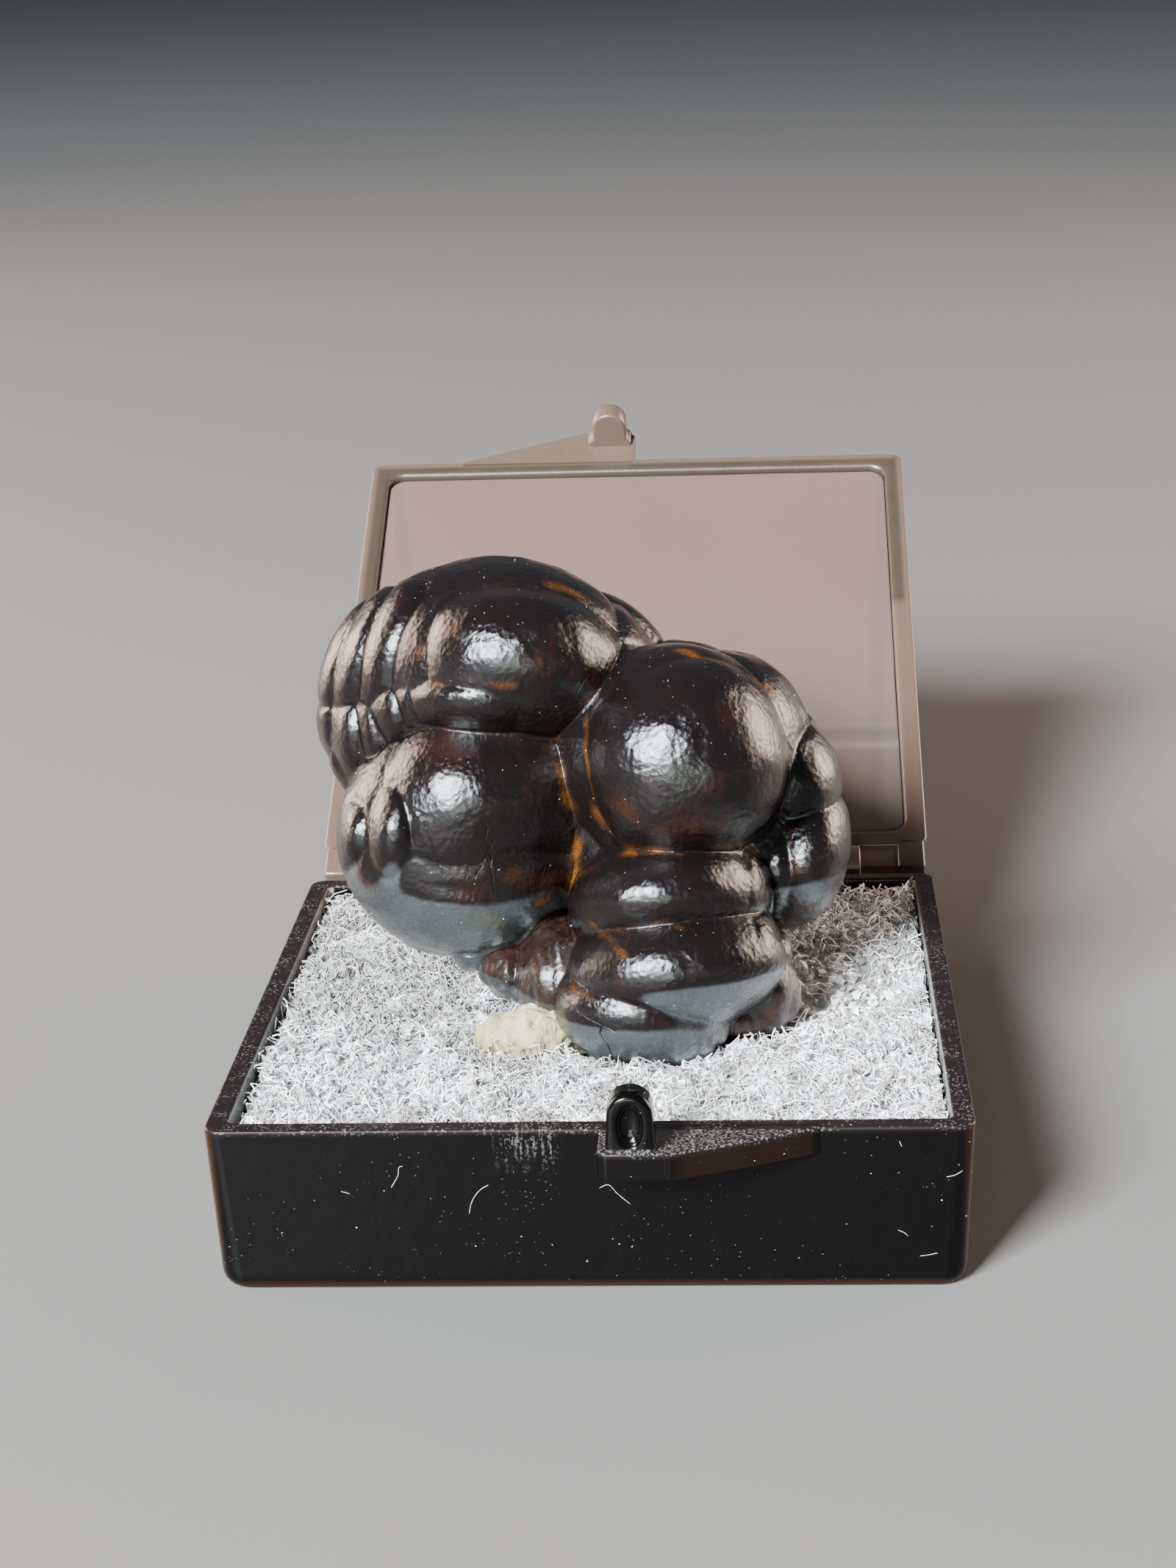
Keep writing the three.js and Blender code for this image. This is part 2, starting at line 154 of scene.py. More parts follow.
# Rust that follows an edge or a crease: [points, width, strength]
RUST_LINES = {
    "big_left_rim": [
        [(-1.9, -0.8, 19.6), (-1.2, -1.8, 18.6), (-1.1, -2.0, 16.7), (-1.1, -1.5, 14.8),
         (-1.2, -0.9, 13.2), (-1.8, -1.5, 12.6), (-2.6, -2.5, 12.6)], 0.46, 1.1],
    "big_left_foot": [[(-3.6, -3.7, 14.2), (-2.6, -2.8, 13.4), (-1.8, -2.0, 13.6)], 0.6, 0.5],
    "big_left_groove": [[(-10.1, -2.3, 16.8), (-9.9, -3.4, 15.6), (-9.3, -3.6, 14.3)], 0.28, 0.9],
    "big_left_side": [[(-11.1, -1.7, 14.0), (-10.1, -2.8, 13.5), (-8.9, -3.6, 13.4)], 0.5, 0.45],
    "big_right_rim": [
        [(0.0, -2.0, 21.8), (-0.1, -3.2, 20.8), (-0.1, -4.1, 19.4), (0.1, -4.0, 17.9),
         (0.4, -3.7, 16.6), (1.2, -4.2, 16.0), (2.3, -4.9, 15.7), (3.8, -5.2, 15.7)], 0.36, 1.05],
    "big_right_low": [[(1.0, -5.3, 18.1), (2.1, -5.9, 17.3), (3.7, -6.1, 17.0), (5.2, -5.8, 17.0)], 1.0, 0.4],
    "shoulder_streak": [
        [(4.3, -0.6, 23.4), (5.5, -1.1, 23.1), (6.5, -0.8, 22.4), (7.5, 0.5, 21.3)], 0.5, 1.6],
    "crown_right": [[(-2.0, 2.2, 25.9), (-0.9, 2.3, 25.3), (0.2, 2.7, 24.4), (0.8, 2.9, 23.6)], 0.5, 1.0],
    "crown_left": [[(-7.7, -1.5, 23.8), (-6.9, -1.9, 24.6), (-5.9, -2.7, 25.1)], 0.28, 0.9],
    "crown_lip": [[(-7.2, -2.0, 22.6), (-5.2, -3.6, 23.1), (-3.4, -3.9, 22.9)], 0.2, 0.7],
    "crown_flecks": [[(-3.0, -3.7, 24.6), (-2.5, -3.9, 24.0), (-2.0, -3.8, 23.5)], 0.4, 0.6],
    "right_inner": [[(6.4, -2.9, 14.5), (6.9, -4.2, 14.0), (7.1, -3.6, 13.4), (7.2, -3.0, 12.5)], 0.28, 0.8],
    "right_upper": [[(8.4, -0.1, 16.3), (8.6, -0.5, 14.7), (8.8, -1.3, 13.6)], 0.28, 0.7],
    "right_foot": [[(8.5, -0.8, 11.9), (9.5, -0.6, 11.5), (10.6, 0.0, 12.3)], 0.5, 0.7],
    "apron_edge": [[(0.0, -5.7, 12.7), (0.6, -6.7, 12.2), (1.4, -8.1, 11.8)], 0.3, 0.95],
    "apron_ridge": [[(0.1, -5.7, 12.4), (2.0, -7.1, 12.7), (3.9, -7.2, 12.9)], 0.25, 0.75],
    "foot_top": [[(-1.1, -5.8, 10.0), (-0.4, -7.3, 10.0), (0.1, -7.8, 9.8)], 0.28, 0.8],
}

# Fine cracks in the gloss, each from one point on the skin to another
CRACKS = [
    [(0.2, -8.5, 9.4), (0.7, -7.6, 6.7)],
    [(-1.9, -6.8, 9.6), (0.4, -8.4, 8.9)],
    [(-7.4, -4.8, 16.9), (-6.8, -5.5, 14.9)],
    [(-4.7, -5.4, 16.2), (-4.5, -5.3, 13.8)],
    [(0.2, -3.4, 23.6), (-0.4, -3.4, 22.6)],
]

# White hairs that cling to the tray's front wall, in X and Z
HAIRS = [
    [(0.48, 4.74), (0.85, 4.87), (1.2, 4.47), (1.73, 3.97)],
    [(14.67, 5.13), (15.02, 5.22), (15.32, 5.42)],
    [(-8.15, 4.8), (-7.85, 5.32), (-7.77, 5.72), (-7.61, 5.79)],
    [(-4.97, 3.58), (-4.83, 4.14), (-4.5, 4.64), (-4.12, 4.9)],
    [(-10.24, 4.65), (-9.88, 4.54)],
    [(13.6, 1.52), (14.0, 1.58), (14.32, 1.66)],
    [(12.7, 2.72), (12.95, 2.60), (13.1, 2.45)],
    [(12.75, 6.75), (12.85, 6.5)],
]

# Putty: three pressed lumps under the left of the foot
LUMPS = {
    "lump_left": [(-4.1, -4.6, 6.8), (1.6, 1.4, 1.1), 0],
    "lump_middle": [(-2.7, -4.5, 7.0), (1.7, 1.8, 1.4), 0],
    "lump_inner": [(-1.6, -3.4, 7.0), (1.6, 1.9, 1.5), 0],
}


# Settings that a user would change


class SPECIMEN_PG_ore(bpy.types.PropertyGroup):
    voxel: FloatProperty(name="Mesh Size", description="Edge length of the ore's faces",
                         default=0.17 * MM, min=0.1 * MM, unit="LENGTH", precision=5)
    softness: FloatProperty(name="Crease Softness", description="How far lobes run into each other",
                            default=0.35 * MM, min=0.01 * MM, unit="LENGTH", precision=5)
    dark: FloatVectorProperty(name="Dark", description="Polished ore", subtype="COLOR",
                              default=(0.0030, 0.0021, 0.0021))
    maroon: FloatVectorProperty(name="Maroon", description="Red tint of the ore", subtype="COLOR",
                                default=(0.0078, 0.0030, 0.0027))
    rust: FloatVectorProperty(name="Rust", description="Rust in creases", subtype="COLOR",
                              default=(0.024, 0.0085, 0.0019))
    orange: FloatVectorProperty(name="Orange", description="Brightest rust", subtype="COLOR",
                                default=(0.072, 0.025, 0.0027))
    brown: FloatVectorProperty(name="Brown", description="Matt lower knobs", subtype="COLOR",
                               default=(0.022, 0.0098, 0.0066))


class SPECIMEN_PG_box(bpy.types.PropertyGroup):
    edge: FloatProperty(name="Edge Rounding", description="Radius of the plastic's edges",
                        default=0.14 * MM, unit="LENGTH", precision=5)
    black: FloatVectorProperty(name="Tray", description="Black plastic", subtype="COLOR",
                               default=(0.0009, 0.0008, 0.0008))
    dust: FloatVectorProperty(name="Dust", description="Dust and chalky scuffs", subtype="COLOR",
                              default=(0.13, 0.125, 0.12))
    taupe: FloatVectorProperty(name="Lid", description="Lower part of the lid's frame", subtype="COLOR",
                               default=(0.062, 0.040, 0.029))
    # Colour of the painted shade on the upper band of the lid's frame
    olive_shade: FloatVectorProperty(name="Lid Top", description="Upper third of the lid's frame", subtype="COLOR",
                               default=(0.017, 0.0130, 0.0083))
    pad_top: FloatVectorProperty(name="Pad Top", description="Upper part of the pad", subtype="COLOR",
                                 default=(0.078, 0.047, 0.039))
    pad_low: FloatVectorProperty(name="Pad Foot", description="Lower part of the pad", subtype="COLOR",
                                 default=(0.074, 0.050, 0.041))


class SPECIMEN_PG_foam(bpy.types.PropertyGroup):
    strands: FloatProperty(name="Strands", description="Strands on each square millimetre",
                           default=12.5, min=0.0)
    loop: FloatProperty(name="Loop Radius", description="Mean radius that a strand curls to",
                        default=0.36 * MM, unit="LENGTH", precision=5)
    thickness: FloatProperty(name="Strand Thickness", description="Diameter of a strand",
                             default=0.058 * MM, unit="LENGTH", precision=5)
    flakes: FloatProperty(name="Flakes", description="Flakes on each square millimetre", default=8.0, min=0.0)
    crumbs: FloatProperty(name="Crumbs", description="White crumbs on each square millimetre",
                          default=1.4, min=0.0)
    seed: IntProperty(name="Seed", description="Seed of the random places", default=7)
    white: FloatVectorProperty(name="White", description="Bright strands", subtype="COLOR",
                               default=(0.88, 0.90, 0.91))
    grey: FloatVectorProperty(name="Grey", description="Strands in shade", subtype="COLOR",
                              default=(0.19, 0.182, 0.177))


class SPECIMEN_PG_stage(bpy.types.PropertyGroup):
    floor: FloatVectorProperty(name="Floor", description="Plain pale floor", subtype="COLOR",
                               default=(0.105, 0.1025, 0.10))
    key: FloatProperty(name="Key Light", description="Softbox at the upper left", default=90.0, unit="POWER")
    fill: FloatProperty(name="Fill Light", description="Small softbox low at the front",
                        default=1.8, unit="POWER")
    side: FloatProperty(name="Side Light", description="Warm panels at the sides", default=3.0, unit="POWER")
    world: FloatProperty(name="Room Light", description="Even light from all sides", default=0.15, min=0.0)


# Node trees


class Wire:
    """A node's output in a tree, with arithmetic that adds Math nodes."""

    def __init__(self, nodes, socket):
        self.nodes = nodes
        self.socket = socket

    def __add__(self, other):
        return self.nodes.maths("ADD", self, other)

    def __radd__(self, other):
        return self.nodes.maths("ADD", other, self)

    def __sub__(self, other):
        return self.nodes.maths("SUBTRACT", self, other)

    def __rsub__(self, other):
        return self.nodes.maths("SUBTRACT", other, self)

    def __mul__(self, other):
        return self.nodes.maths("MULTIPLY", self, other)

    def __abs__(self):
        return self.nodes.maths("ABSOLUTE", self)


class Nodes:
    """A node tree that is filled by one method, which makes any node."""

    def __init__(self, tree):
        self.tree = tree
        tree.nodes.clear()

    def node(self, kind, settings=None, sockets=None, output=0):
        made = self.tree.nodes.new(kind)
        for name, value in (settings or {}).items():
            setattr(made, name, value)
        for name, value in (sockets or {}).items():
            if isinstance(value, Wire):
                self.tree.links.new(value.socket, made.inputs[name])
            else:
                made.inputs[name].default_value = value
        return Wire(self, made.outputs[output]) if made.outputs else made

    def maths(self, operation, *values):
        return self.node("ShaderNodeMath", {"operation": operation}, dict(enumerate(values)))

    def vector(self, operation, *values, output=0):
        return self.node("ShaderNodeVectorMath", {"operation": operation}, dict(enumerate(values)), output)

    def clip(self, value):
        return self.node("ShaderNodeClamp", {}, {"Value": value})

    def step(self, value, low, high):
        """0 below low, 1 above high, smooth between; low may be the larger."""
        return self.node("ShaderNodeMapRange", {"interpolation_type": "SMOOTHSTEP"},
                         {"Value": value, "From Min": low, "From Max": high})

    def band(self, value, rise, fall):
        """1 between two steps, each a pair of values; the second pair runs from high to low."""
        return self.step(value, *rise) * self.step(value, *fall)

    def mix(self, factor, first, second):
        """A colour between two colours."""
        return self.node("ShaderNodeMix", {"data_type": "RGBA"}, {0: factor, 6: first, 7: second}, 2)

    def place(self):
        """Object coordinates in millimetres."""
        where = self.node("ShaderNodeTexCoord", output=3)
        return self.node("ShaderNodeVectorMath", {"operation": "SCALE"}, {0: where, "Scale": 1 / MM})

    def noise(self, scale, detail=2.0, roughness=0.5, warp=0.0, at=None):
        """Noise from 0 to 1 whose lumps are about 1 / scale millimetres wide."""
        return self.node("ShaderNodeTexNoise", {},
                         {"Vector": at or self.place(), "Scale": scale, "Detail": detail,
                          "Roughness": roughness, "Distortion": warp})

    def cells(self, scale):
        """Distance from the nearest of scattered spots, with about scale spots to a millimetre."""
        return self.node("ShaderNodeTexVoronoi", {}, {"Vector": self.place(), "Scale": scale})

    def attribute(self, name):
        return self.node("ShaderNodeAttribute", {"attribute_name": name}, output=2)

    def split(self, vector):
        made = self.node("ShaderNodeSeparateXYZ", {}, {0: vector}).socket.node
        return [Wire(self, made.outputs[axis]) for axis in range(3)]


class Finish(Nodes):
    """A material."""

    def __init__(self, name):
        self.material = bpy.data.materials.new(name)
        self.material.use_nodes = True
        super().__init__(self.material.node_tree)

    def bump(self, height, depth, onto=None):
        """A normal from a height between 0 and 1; depth is in millimetres."""
        sockets = {"Height": height, "Distance": depth * MM, "Strength": 1.0}
        if onto is not None:
            sockets["Normal"] = onto
        return self.node("ShaderNodeBump", {}, sockets)

    def shader(self, colour, roughness, normal=None, **plain):
        """A Principled shader; plain holds sockets that are the same all over, with _ for a space."""
        sockets = {"Base Color": colour, "Roughness": roughness}
        sockets.update({name.replace("_", " "): value for name, value in plain.items()})
        if normal is not None:
            sockets["Normal"] = normal
        return self.node("ShaderNodeBsdfPrincipled", {}, sockets)

    def blend(self, factor, first, second):
        """A shader between two shaders."""
        return self.node("ShaderNodeMixShader", {}, {0: factor, 1: first, 2: second})

    def cracks(self, lines):
        """1 on thin wavering lines that run from one point to another as seen from the front."""
        x, _y, z = self.split(self.place())
        sway = (self.noise(1.1, 4.0, 0.6) - 0.5) * 0.7
        drawn = 0.0
        for (x0, _y0, z0), (x1, _y1, z1) in lines:
            along = Vector((x1 - x0, z1 - z0)).normalized()
            across = (x - x0) * along.y - (z - z0) * along.x + sway
            drawn = self.maths("MAXIMUM", self.step(abs(across), 0.055, 0.02), drawn)
        return drawn

    def done(self, shader):
        self.node("ShaderNodeOutputMaterial", {}, {"Surface": shader})
        return self.material


def rgba(colour):
    return (*colour, 1.0)


# Mesh building


def piece(name, points, faces, body, material, stands_for=(), smooth=True):
    """A mesh object from points in millimetres; smooth is one flag or one for each face."""
    mesh = bpy.data.meshes.new(name)
    mesh.from_pydata((np.asarray(points) * MM).tolist(), [], faces)
    flags = np.full(len(mesh.polygons), smooth) if isinstance(smooth, bool) else np.asarray(smooth)
    mesh.polygons.foreach_set("use_smooth", flags)
    mesh.materials.append(material)
    mesh.update()
    return declare(new_holder(mesh), body, stands_for)


def declare(made, body, stands_for=()):
    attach(made, body)
    if stands_for:
        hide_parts(*stands_for)
    return made


def set_attribute(made, name, values):
    made.data.attributes.new(name, "FLOAT", "POINT").data.foreach_set("value", np.asarray(values, np.float32))


def coordinates(mesh):
    """A mesh's points, one on each row."""
    points = np.empty(len(mesh.vertices) * 3, np.float32)
    mesh.vertices.foreach_get("co", points)
    return points.reshape(-1, 3)


def new_holder(mesh):
    """An object in the scene that carries a mesh while it is being made."""
    holder = bpy.data.objects.new(mesh.name, mesh)
    bpy.context.scene.collection.objects.link(holder)
    return holder


def evaluated(holder):
    """A new mesh of what the holder's modifier makes of it."""
    return bpy.data.meshes.new_from_object(holder.evaluated_get(bpy.context.evaluated_depsgraph_get()))


class Shell:
    """Points and faces that grow part by part into one piece."""

    def __init__(self):
        self.points = []
        self.faces = []
        self.smooth = []

    def add(self, points, faces, smooth=True):
        start = len(self.points)
        self.points.extend([tuple(p) for p in points])
        self.faces.extend([tuple(start + i for i in face) for face in faces])
        self.smooth.extend([smooth] * len(faces) if isinstance(smooth, bool) else smooth)

def open_lid(points):
    """Points of the closed lid, turned open about the hinge axis."""
    angle = math.radians(-OPEN_ANGLE)
    y = points[:, 1] - HINGE_Y
    z = points[:, 2] - HINGE_Z
    turned_y = y * math.cos(angle) - z * math.sin(angle) + HINGE_Y
    turned_z = y * math.sin(angle) + z * math.cos(angle) + HINGE_Z
    return np.column_stack([points[:, 0], turned_y, turned_z])


HOLD = 0.04  # distance of a supporting loop from a rounded corner
EASED_STEPS = 5
LONGEST_EASE = 0.45  # share of a side that a rounded corner may take


def eased(corners):
    """A profile of (half width, height) whose corners, given with a radius, are rounded."""
    out = []
    for i, (x, z, radius) in enumerate(corners):
        here = np.array([x, z])
        if radius <= 0 or i in (0, len(corners) - 1):
            out.append(here)
            continue
        before = np.array(corners[i - 1][:2]) - here
        after = np.array(corners[i + 1][:2]) - here
        reach_before = min(radius, LONGEST_EASE * np.linalg.norm(before))
        reach_after = min(radius, LONGEST_EASE * np.linalg.norm(after))
        before /= np.linalg.norm(before)
        after /= np.linalg.norm(after)
        start = here + before * reach_before
        end = here + after * reach_after
        out.append(start + before * HOLD)
        for t in np.linspace(0, 1, EASED_STEPS + 1):
            out.append((1 - t) ** 2 * start + 2 * t * (1 - t) * here + t * t * end)
        out.append(end + after * HOLD)
    return out


def ring(half, z, radius, arc_steps=8, side_steps=1):
    """A level square loop with rounded corners, counter-clockwise from above."""
    radius = min(radius, half)
    core = half - radius
    quarter = []
    for t in np.linspace(0, math.pi / 2, arc_steps + 1):
        quarter.append((core + radius * math.cos(t), core + radius * math.sin(t)))
    for t in np.linspace(HOLD, 2 * core - HOLD, side_steps + 1) if core > HOLD else []:
        quarter.append((core - t, half))
    loop = []
    for c, s in ((1, 0), (0, 1), (-1, 0), (0, -1)):
        loop.extend([(x * c - y * s, x * s + y * c, z) for x, y in quarter])
    return loop


def lofted(rings):
    """Points and faces of a closed skin through loops of equal length, capped at both ends."""
    count = len(rings[0])
    points = [p for loop in rings for p in loop]
    faces = [tuple(reversed(range(count)))]
    for level in range(len(rings) - 1):
        low = level * count
        for i in range(count):
            j = (i + 1) % count
            faces.append((low + i, low + j, low + count + j, low + count + i))
    faces.append(tuple(range(len(points) - count, len(points))))
    return points, faces


SHARP_ANGLE = math.radians(25)
LARGE_FACE = 0.25  # square millimetres; larger faces are shaded flat


def bar(outline, axis, low, high, edge, segments=3):
    """A prism with rounded edges: a flat outline drawn along an axis from low to high."""
    work = bmesh.new()
    order = {"x": (2, 0, 1), "y": (0, 2, 1), "z": (0, 1, 2)}[axis]
    near = [work.verts.new([(u, v, low)[k] for k in order]) for u, v in outline]
    cap = work.faces.new(near)
    grown = bmesh.ops.extrude_face_region(work, geom=[cap])["geom"]
    shift = [0.0, 0.0, 0.0]
    shift["xyz".index(axis)] = high - low
    bmesh.ops.translate(work, verts=[g for g in grown if isinstance(g, bmesh.types.BMVert)], vec=shift)
    bmesh.ops.recalc_face_normals(work, faces=work.faces)
    sharp = [e for e in work.edges if e.calc_face_angle(0) > SHARP_ANGLE]
    bmesh.ops.bevel(work, geom=sharp, offset=edge, offset_type="OFFSET", segments=segments,
                    profile=0.5, affect="EDGES", clamp_overlap=True)
    bmesh.ops.recalc_face_normals(work, faces=work.faces)
    work.verts.index_update()
    points = [tuple(v.co) for v in work.verts]
    faces = [tuple(v.index for v in f.verts) for f in work.faces]
    smooth = [f.calc_area() <= LARGE_FACE for f in work.faces]
    work.free()
    return points, faces, smooth


def rod(radius, x0, x1, edge=0.12, sides=28):
    """A round pin along the hinge axis."""
    rings = []
    for x, r in [(x0, radius - edge), (x0 + edge, radius), (x1 - edge, radius), (x1, radius - edge)]:
        angles = [2 * math.pi * i / sides for i in range(sides)]
        rings.append([(x, HINGE_Y + r * math.cos(a), HINGE_Z + r * math.sin(a)) for a in angles])
    return lofted(rings)


HAIR_STEPS = 6
HAIR_SIDES = 6


def thread(line, radius):
    """A thin round hair through a few points, rounded between them."""
    line = np.array(line)
    ends = np.vstack([2 * line[0] - line[1], line, 2 * line[-1] - line[-2]])
    path = []
    for before, start, end, after in zip(ends, ends[1:], ends[2:], ends[3:]):
        bend = 2 * before - 5 * start + 4 * end - after
        twist = 3 * start - before - 3 * end + after
        for t in np.arange(HAIR_STEPS) / HAIR_STEPS:
            path.append(0.5 * (2 * start + (end - before) * t + bend * t ** 2 + twist * t ** 3))
    path = np.array(path + [line[-1]])
    along = np.gradient(path, axis=0)
    along /= np.linalg.norm(along, axis=1)[:, None]
    side = np.cross(along, (0.0, -1.0, 0.0))
    side /= np.linalg.norm(side, axis=1)[:, None]
    lift = np.cross(side, along)
    turns = 2 * math.pi * np.arange(HAIR_SIDES) / HAIR_SIDES
    loops = []
    for k, spot in enumerate(path):
        thin = radius * (0.5 if k in (0, len(path) - 1) else 1.0)
        loops.append([tuple(spot + thin * (math.cos(a) * side[k] + math.sin(a) * lift[k])) for a in turns])
    return lofted(loops)


WAVES = 14


def ripple(points, wavelength, seed):
    """Smooth noise, about -1 to 1, from plane waves in seeded directions."""
    random = np.random.default_rng(seed)
    directions = random.normal(size=(WAVES, 3))
    directions /= np.linalg.norm(directions, axis=1)[:, None]
    numbers = 2 * math.pi / (wavelength * random.uniform(0.7, 1.5, WAVES))
    phases = random.uniform(0, 2 * math.pi, WAVES)
    return np.sin(points @ (directions * numbers[:, None]).T + phases).sum(axis=1) / math.sqrt(WAVES)


def wander(points, wavelength, seed):
    """A smooth random offset for each point, about -1 to 1 on every axis."""
    return np.column_stack([ripple(points, wavelength, seed + axis) for axis in range(3)])


# Fused lobes


LINE_STEP = 0.3  # spacing of the points of a line that is laid on the skin
ALIKE = 0.06  # how far two lobes' directions differ where a crease is at full strength
FARTHEST_MOVE = 0.3


class Lobes:
    """Rounded lobes that run into each other, with the distance of any point from their common skin."""

    def __init__(self, table, softness):
        rows = list(table.values())
        self.names = list(table)
        self.softness = softness
        self.centres = np.array([row[0] for row in rows])
        self.radii = np.array([row[1] for row in rows]) * LOBE_SCALE
        self.turns = []
        for name, row in table.items():
            nod, yaw = FACING.get(name, (0, 0))
            turn = Matrix.Rotation(math.radians(TURN + yaw), 3, "Z")
            lean = Matrix.Rotation(math.radians(LEAN - nod), 3, "X")
            self.turns.append(turn @ lean @ Matrix.Rotation(math.radians(row[2]), 3, "Y"))
        self.turns = np.array(self.turns)
        self.fullness = np.array([FULLNESS.get(name, 2.0) for name in table])

    def each(self, points):
        """Distance and outward direction of every point from every lobe."""
        local = np.einsum("lji,nlj->nli", self.turns, points[:, None, :] - self.centres[None]) / self.radii
        first = np.linalg.norm(local, axis=2)
        steep = local / self.radii
        for lobe in np.flatnonzero(self.fullness > 2.0):
            power = self.fullness[lobe]
            size = np.abs(local[:, lobe])
            first[:, lobe] = (size ** power).sum(axis=1) ** (1 / power)
            steep[:, lobe] = np.sign(local[:, lobe]) * size ** (power - 1) / self.radii[lobe]
            steep[:, lobe] *= first[:, lobe, None] ** (2 - power)
        second = np.maximum(np.linalg.norm(steep, axis=2), 1e-9)
        away = np.einsum("lij,nlj->nli", self.turns, steep / second[..., None])
        return first * (first - 1) / second, away

    def skin(self, points):
        """Distance and outward direction from the common skin."""
        distance, away = self.each(points)
        near = distance.min(axis=1)
        weight = np.exp(-(distance - near[:, None]) / self.softness)
        total = weight.sum(axis=1)
        normal = (away * weight[..., None]).sum(axis=1)
        normal /= np.maximum(np.linalg.norm(normal, axis=1), 1e-9)[:, None]
        return near - self.softness * np.log(total), normal

    def creases(self, points, width):
        """How near each point is to a crease, from 0 to 1, and the lobe that it is on."""
        distance, away = self.each(points)
        nearest = distance.argmin(axis=1)
        rows = np.arange(len(points))
        beyond = distance - distance[rows, nearest][:, None]
        alike = np.einsum("nli,ni->nl", away, away[rows, nearest])
        strength = np.exp(-beyond / width) * np.clip((1 - alike) / ALIKE, 0, 1)
        return strength.max(axis=1), nearest

    def on_skin(self, line):
        """A run of points, made finer and laid on the skin."""
        fine = [line[0]]
        for a, b in zip(line[:-1], line[1:]):
            count = max(1, round(math.dist(a, b) / LINE_STEP))
            fine += [tuple(np.array(a) + (np.array(b) - a) * k / count) for k in range(1, count + 1)]
        fine = np.array(fine)
        for _ in range(3):
            gap, normal = self.skin(fine)
            fine -= normal * gap[:, None]
        return fine

    def mesh(self, voxel):
        """One closed skin of even faces round all lobes, laid exactly on the common skin."""
        work = bmesh.new()
        for centre, radii, turn, power in zip(self.centres, self.radii, self.turns, self.fullness):
            place = Matrix.Translation(centre) @ Matrix(turn).to_4x4() @ Matrix.Diagonal((*radii, 1.0))
            made = bmesh.ops.create_icosphere(work, subdivisions=4, radius=1.0)["verts"]
            for vert in made:
                vert.co = place @ (vert.co / sum(abs(c) ** power for c in vert.co) ** (1 / power))
        rough = bpy.data.meshes.new("rough")
        work.to_mesh(rough)
        work.free()
        holder = new_holder(rough)
        remesh = holder.modifiers.new("Fuse", "REMESH")
        remesh.mode = "VOXEL"
        remesh.voxel_size = voxel
        fused = evaluated(holder)
        points = coordinates(fused).astype(float)
        faces = [tuple(p.vertices) for p in fused.polygons]
        bpy.data.objects.remove(holder)
        bpy.data.meshes.remove(rough)
        bpy.data.meshes.remove(fused)
        for _ in range(4):
            gap, normal = self.skin(points)
            points -= normal * np.clip(gap, -FARTHEST_MOVE, FARTHEST_MOVE)[:, None]
        return points, faces


def distance_to_line(points, line):
    """Smallest distance of each point from a run of straight stretches."""
    best = np.full(len(points), 1e9)
    for a, b in zip(line[:-1], line[1:]):
        a = np.array(a)
        along = np.array(b) - a
        t = np.clip((points - a) @ along / (along @ along), 0, 1)
        best = np.minimum(best, np.linalg.norm(points - a - t[:, None] * along, axis=1))
    return best


def cell_gap(points, seeds):
    """How much farther the second nearest seed is than the nearest."""
    nearest = np.full(len(points), 1e9)
    second = nearest.copy()
    for seed in seeds:
        d = np.linalg.norm(points - seed, axis=1)
        second = np.minimum(second, np.maximum(nearest, d))
        nearest = np.minimum(nearest, d)
    return second - nearest


# Materials

# Colours of small marks, of painted light, shade and reflections, and tints of reflections
# Base colour of the painted reflection of the foam on the ore's undersides
FOAM_MIRROR_BASE = (0.010, 0.012, 0.013, 1)
GREY_DUST = (0.2, 0.2, 0.2, 1)
# Painted reflection: brownish, on the shelf's sloping front
SHELF_REFLECTION = (0.0055, 0.0029, 0.0021, 1)
# Painted reddish glow along the tray's front edges
EDGE_GLOW = (0.014, 0.0048, 0.0026, 1)
WORN_RIM = (0.0075, 0.0052, 0.0052, 1)
# Painted light: a pale sheen high on the tray's inner side walls
SIDE_WALL_LIGHT = (0.22, 0.22, 0.21, 1)
LID_SHADE = (0.045, 0.034, 0.025, 1)
# Pink of the lid's corners at the foot, painted lighter against the shade there
LIT_PINK_CORNER = (0.115, 0.066, 0.050, 1)
PAD_CLOUD = (0.078, 0.056, 0.048, 1)
# Painted shade in the pad's fold valleys, and a painted highlight on its ridge
PAD_FOLD_SHADE = (0.046, 0.037, 0.030, 1)
PAD_FOLD_HIGHLIGHT = (0.105, 0.082, 0.070, 1)
# Painted light on the pad's foot, against the shade there
PAD_FOOT_LIGHT = (0.078, 0.058, 0.046, 1)
CRUMB_WHITE = (0.92, 0.93, 0.93, 1)
PUTTY_STAIN = (0.19, 0.176, 0.082, 1)
PUTTY_CREAM = (0.26, 0.248, 0.150, 1)
PUTTY_CRACK = (0.14, 0.12, 0.07, 1)
DARK_SPECK = (0.30, 0.30, 0.31, 1)
PALE_SPECK = (0.62, 0.62, 0.62, 1)
COOL_GLOSS = (0.88, 0.97, 1.0, 1)
# Tint of that painted reflection of the foam
FOAM_MIRROR_TINT = (0.86, 0.97, 1.0, 1)


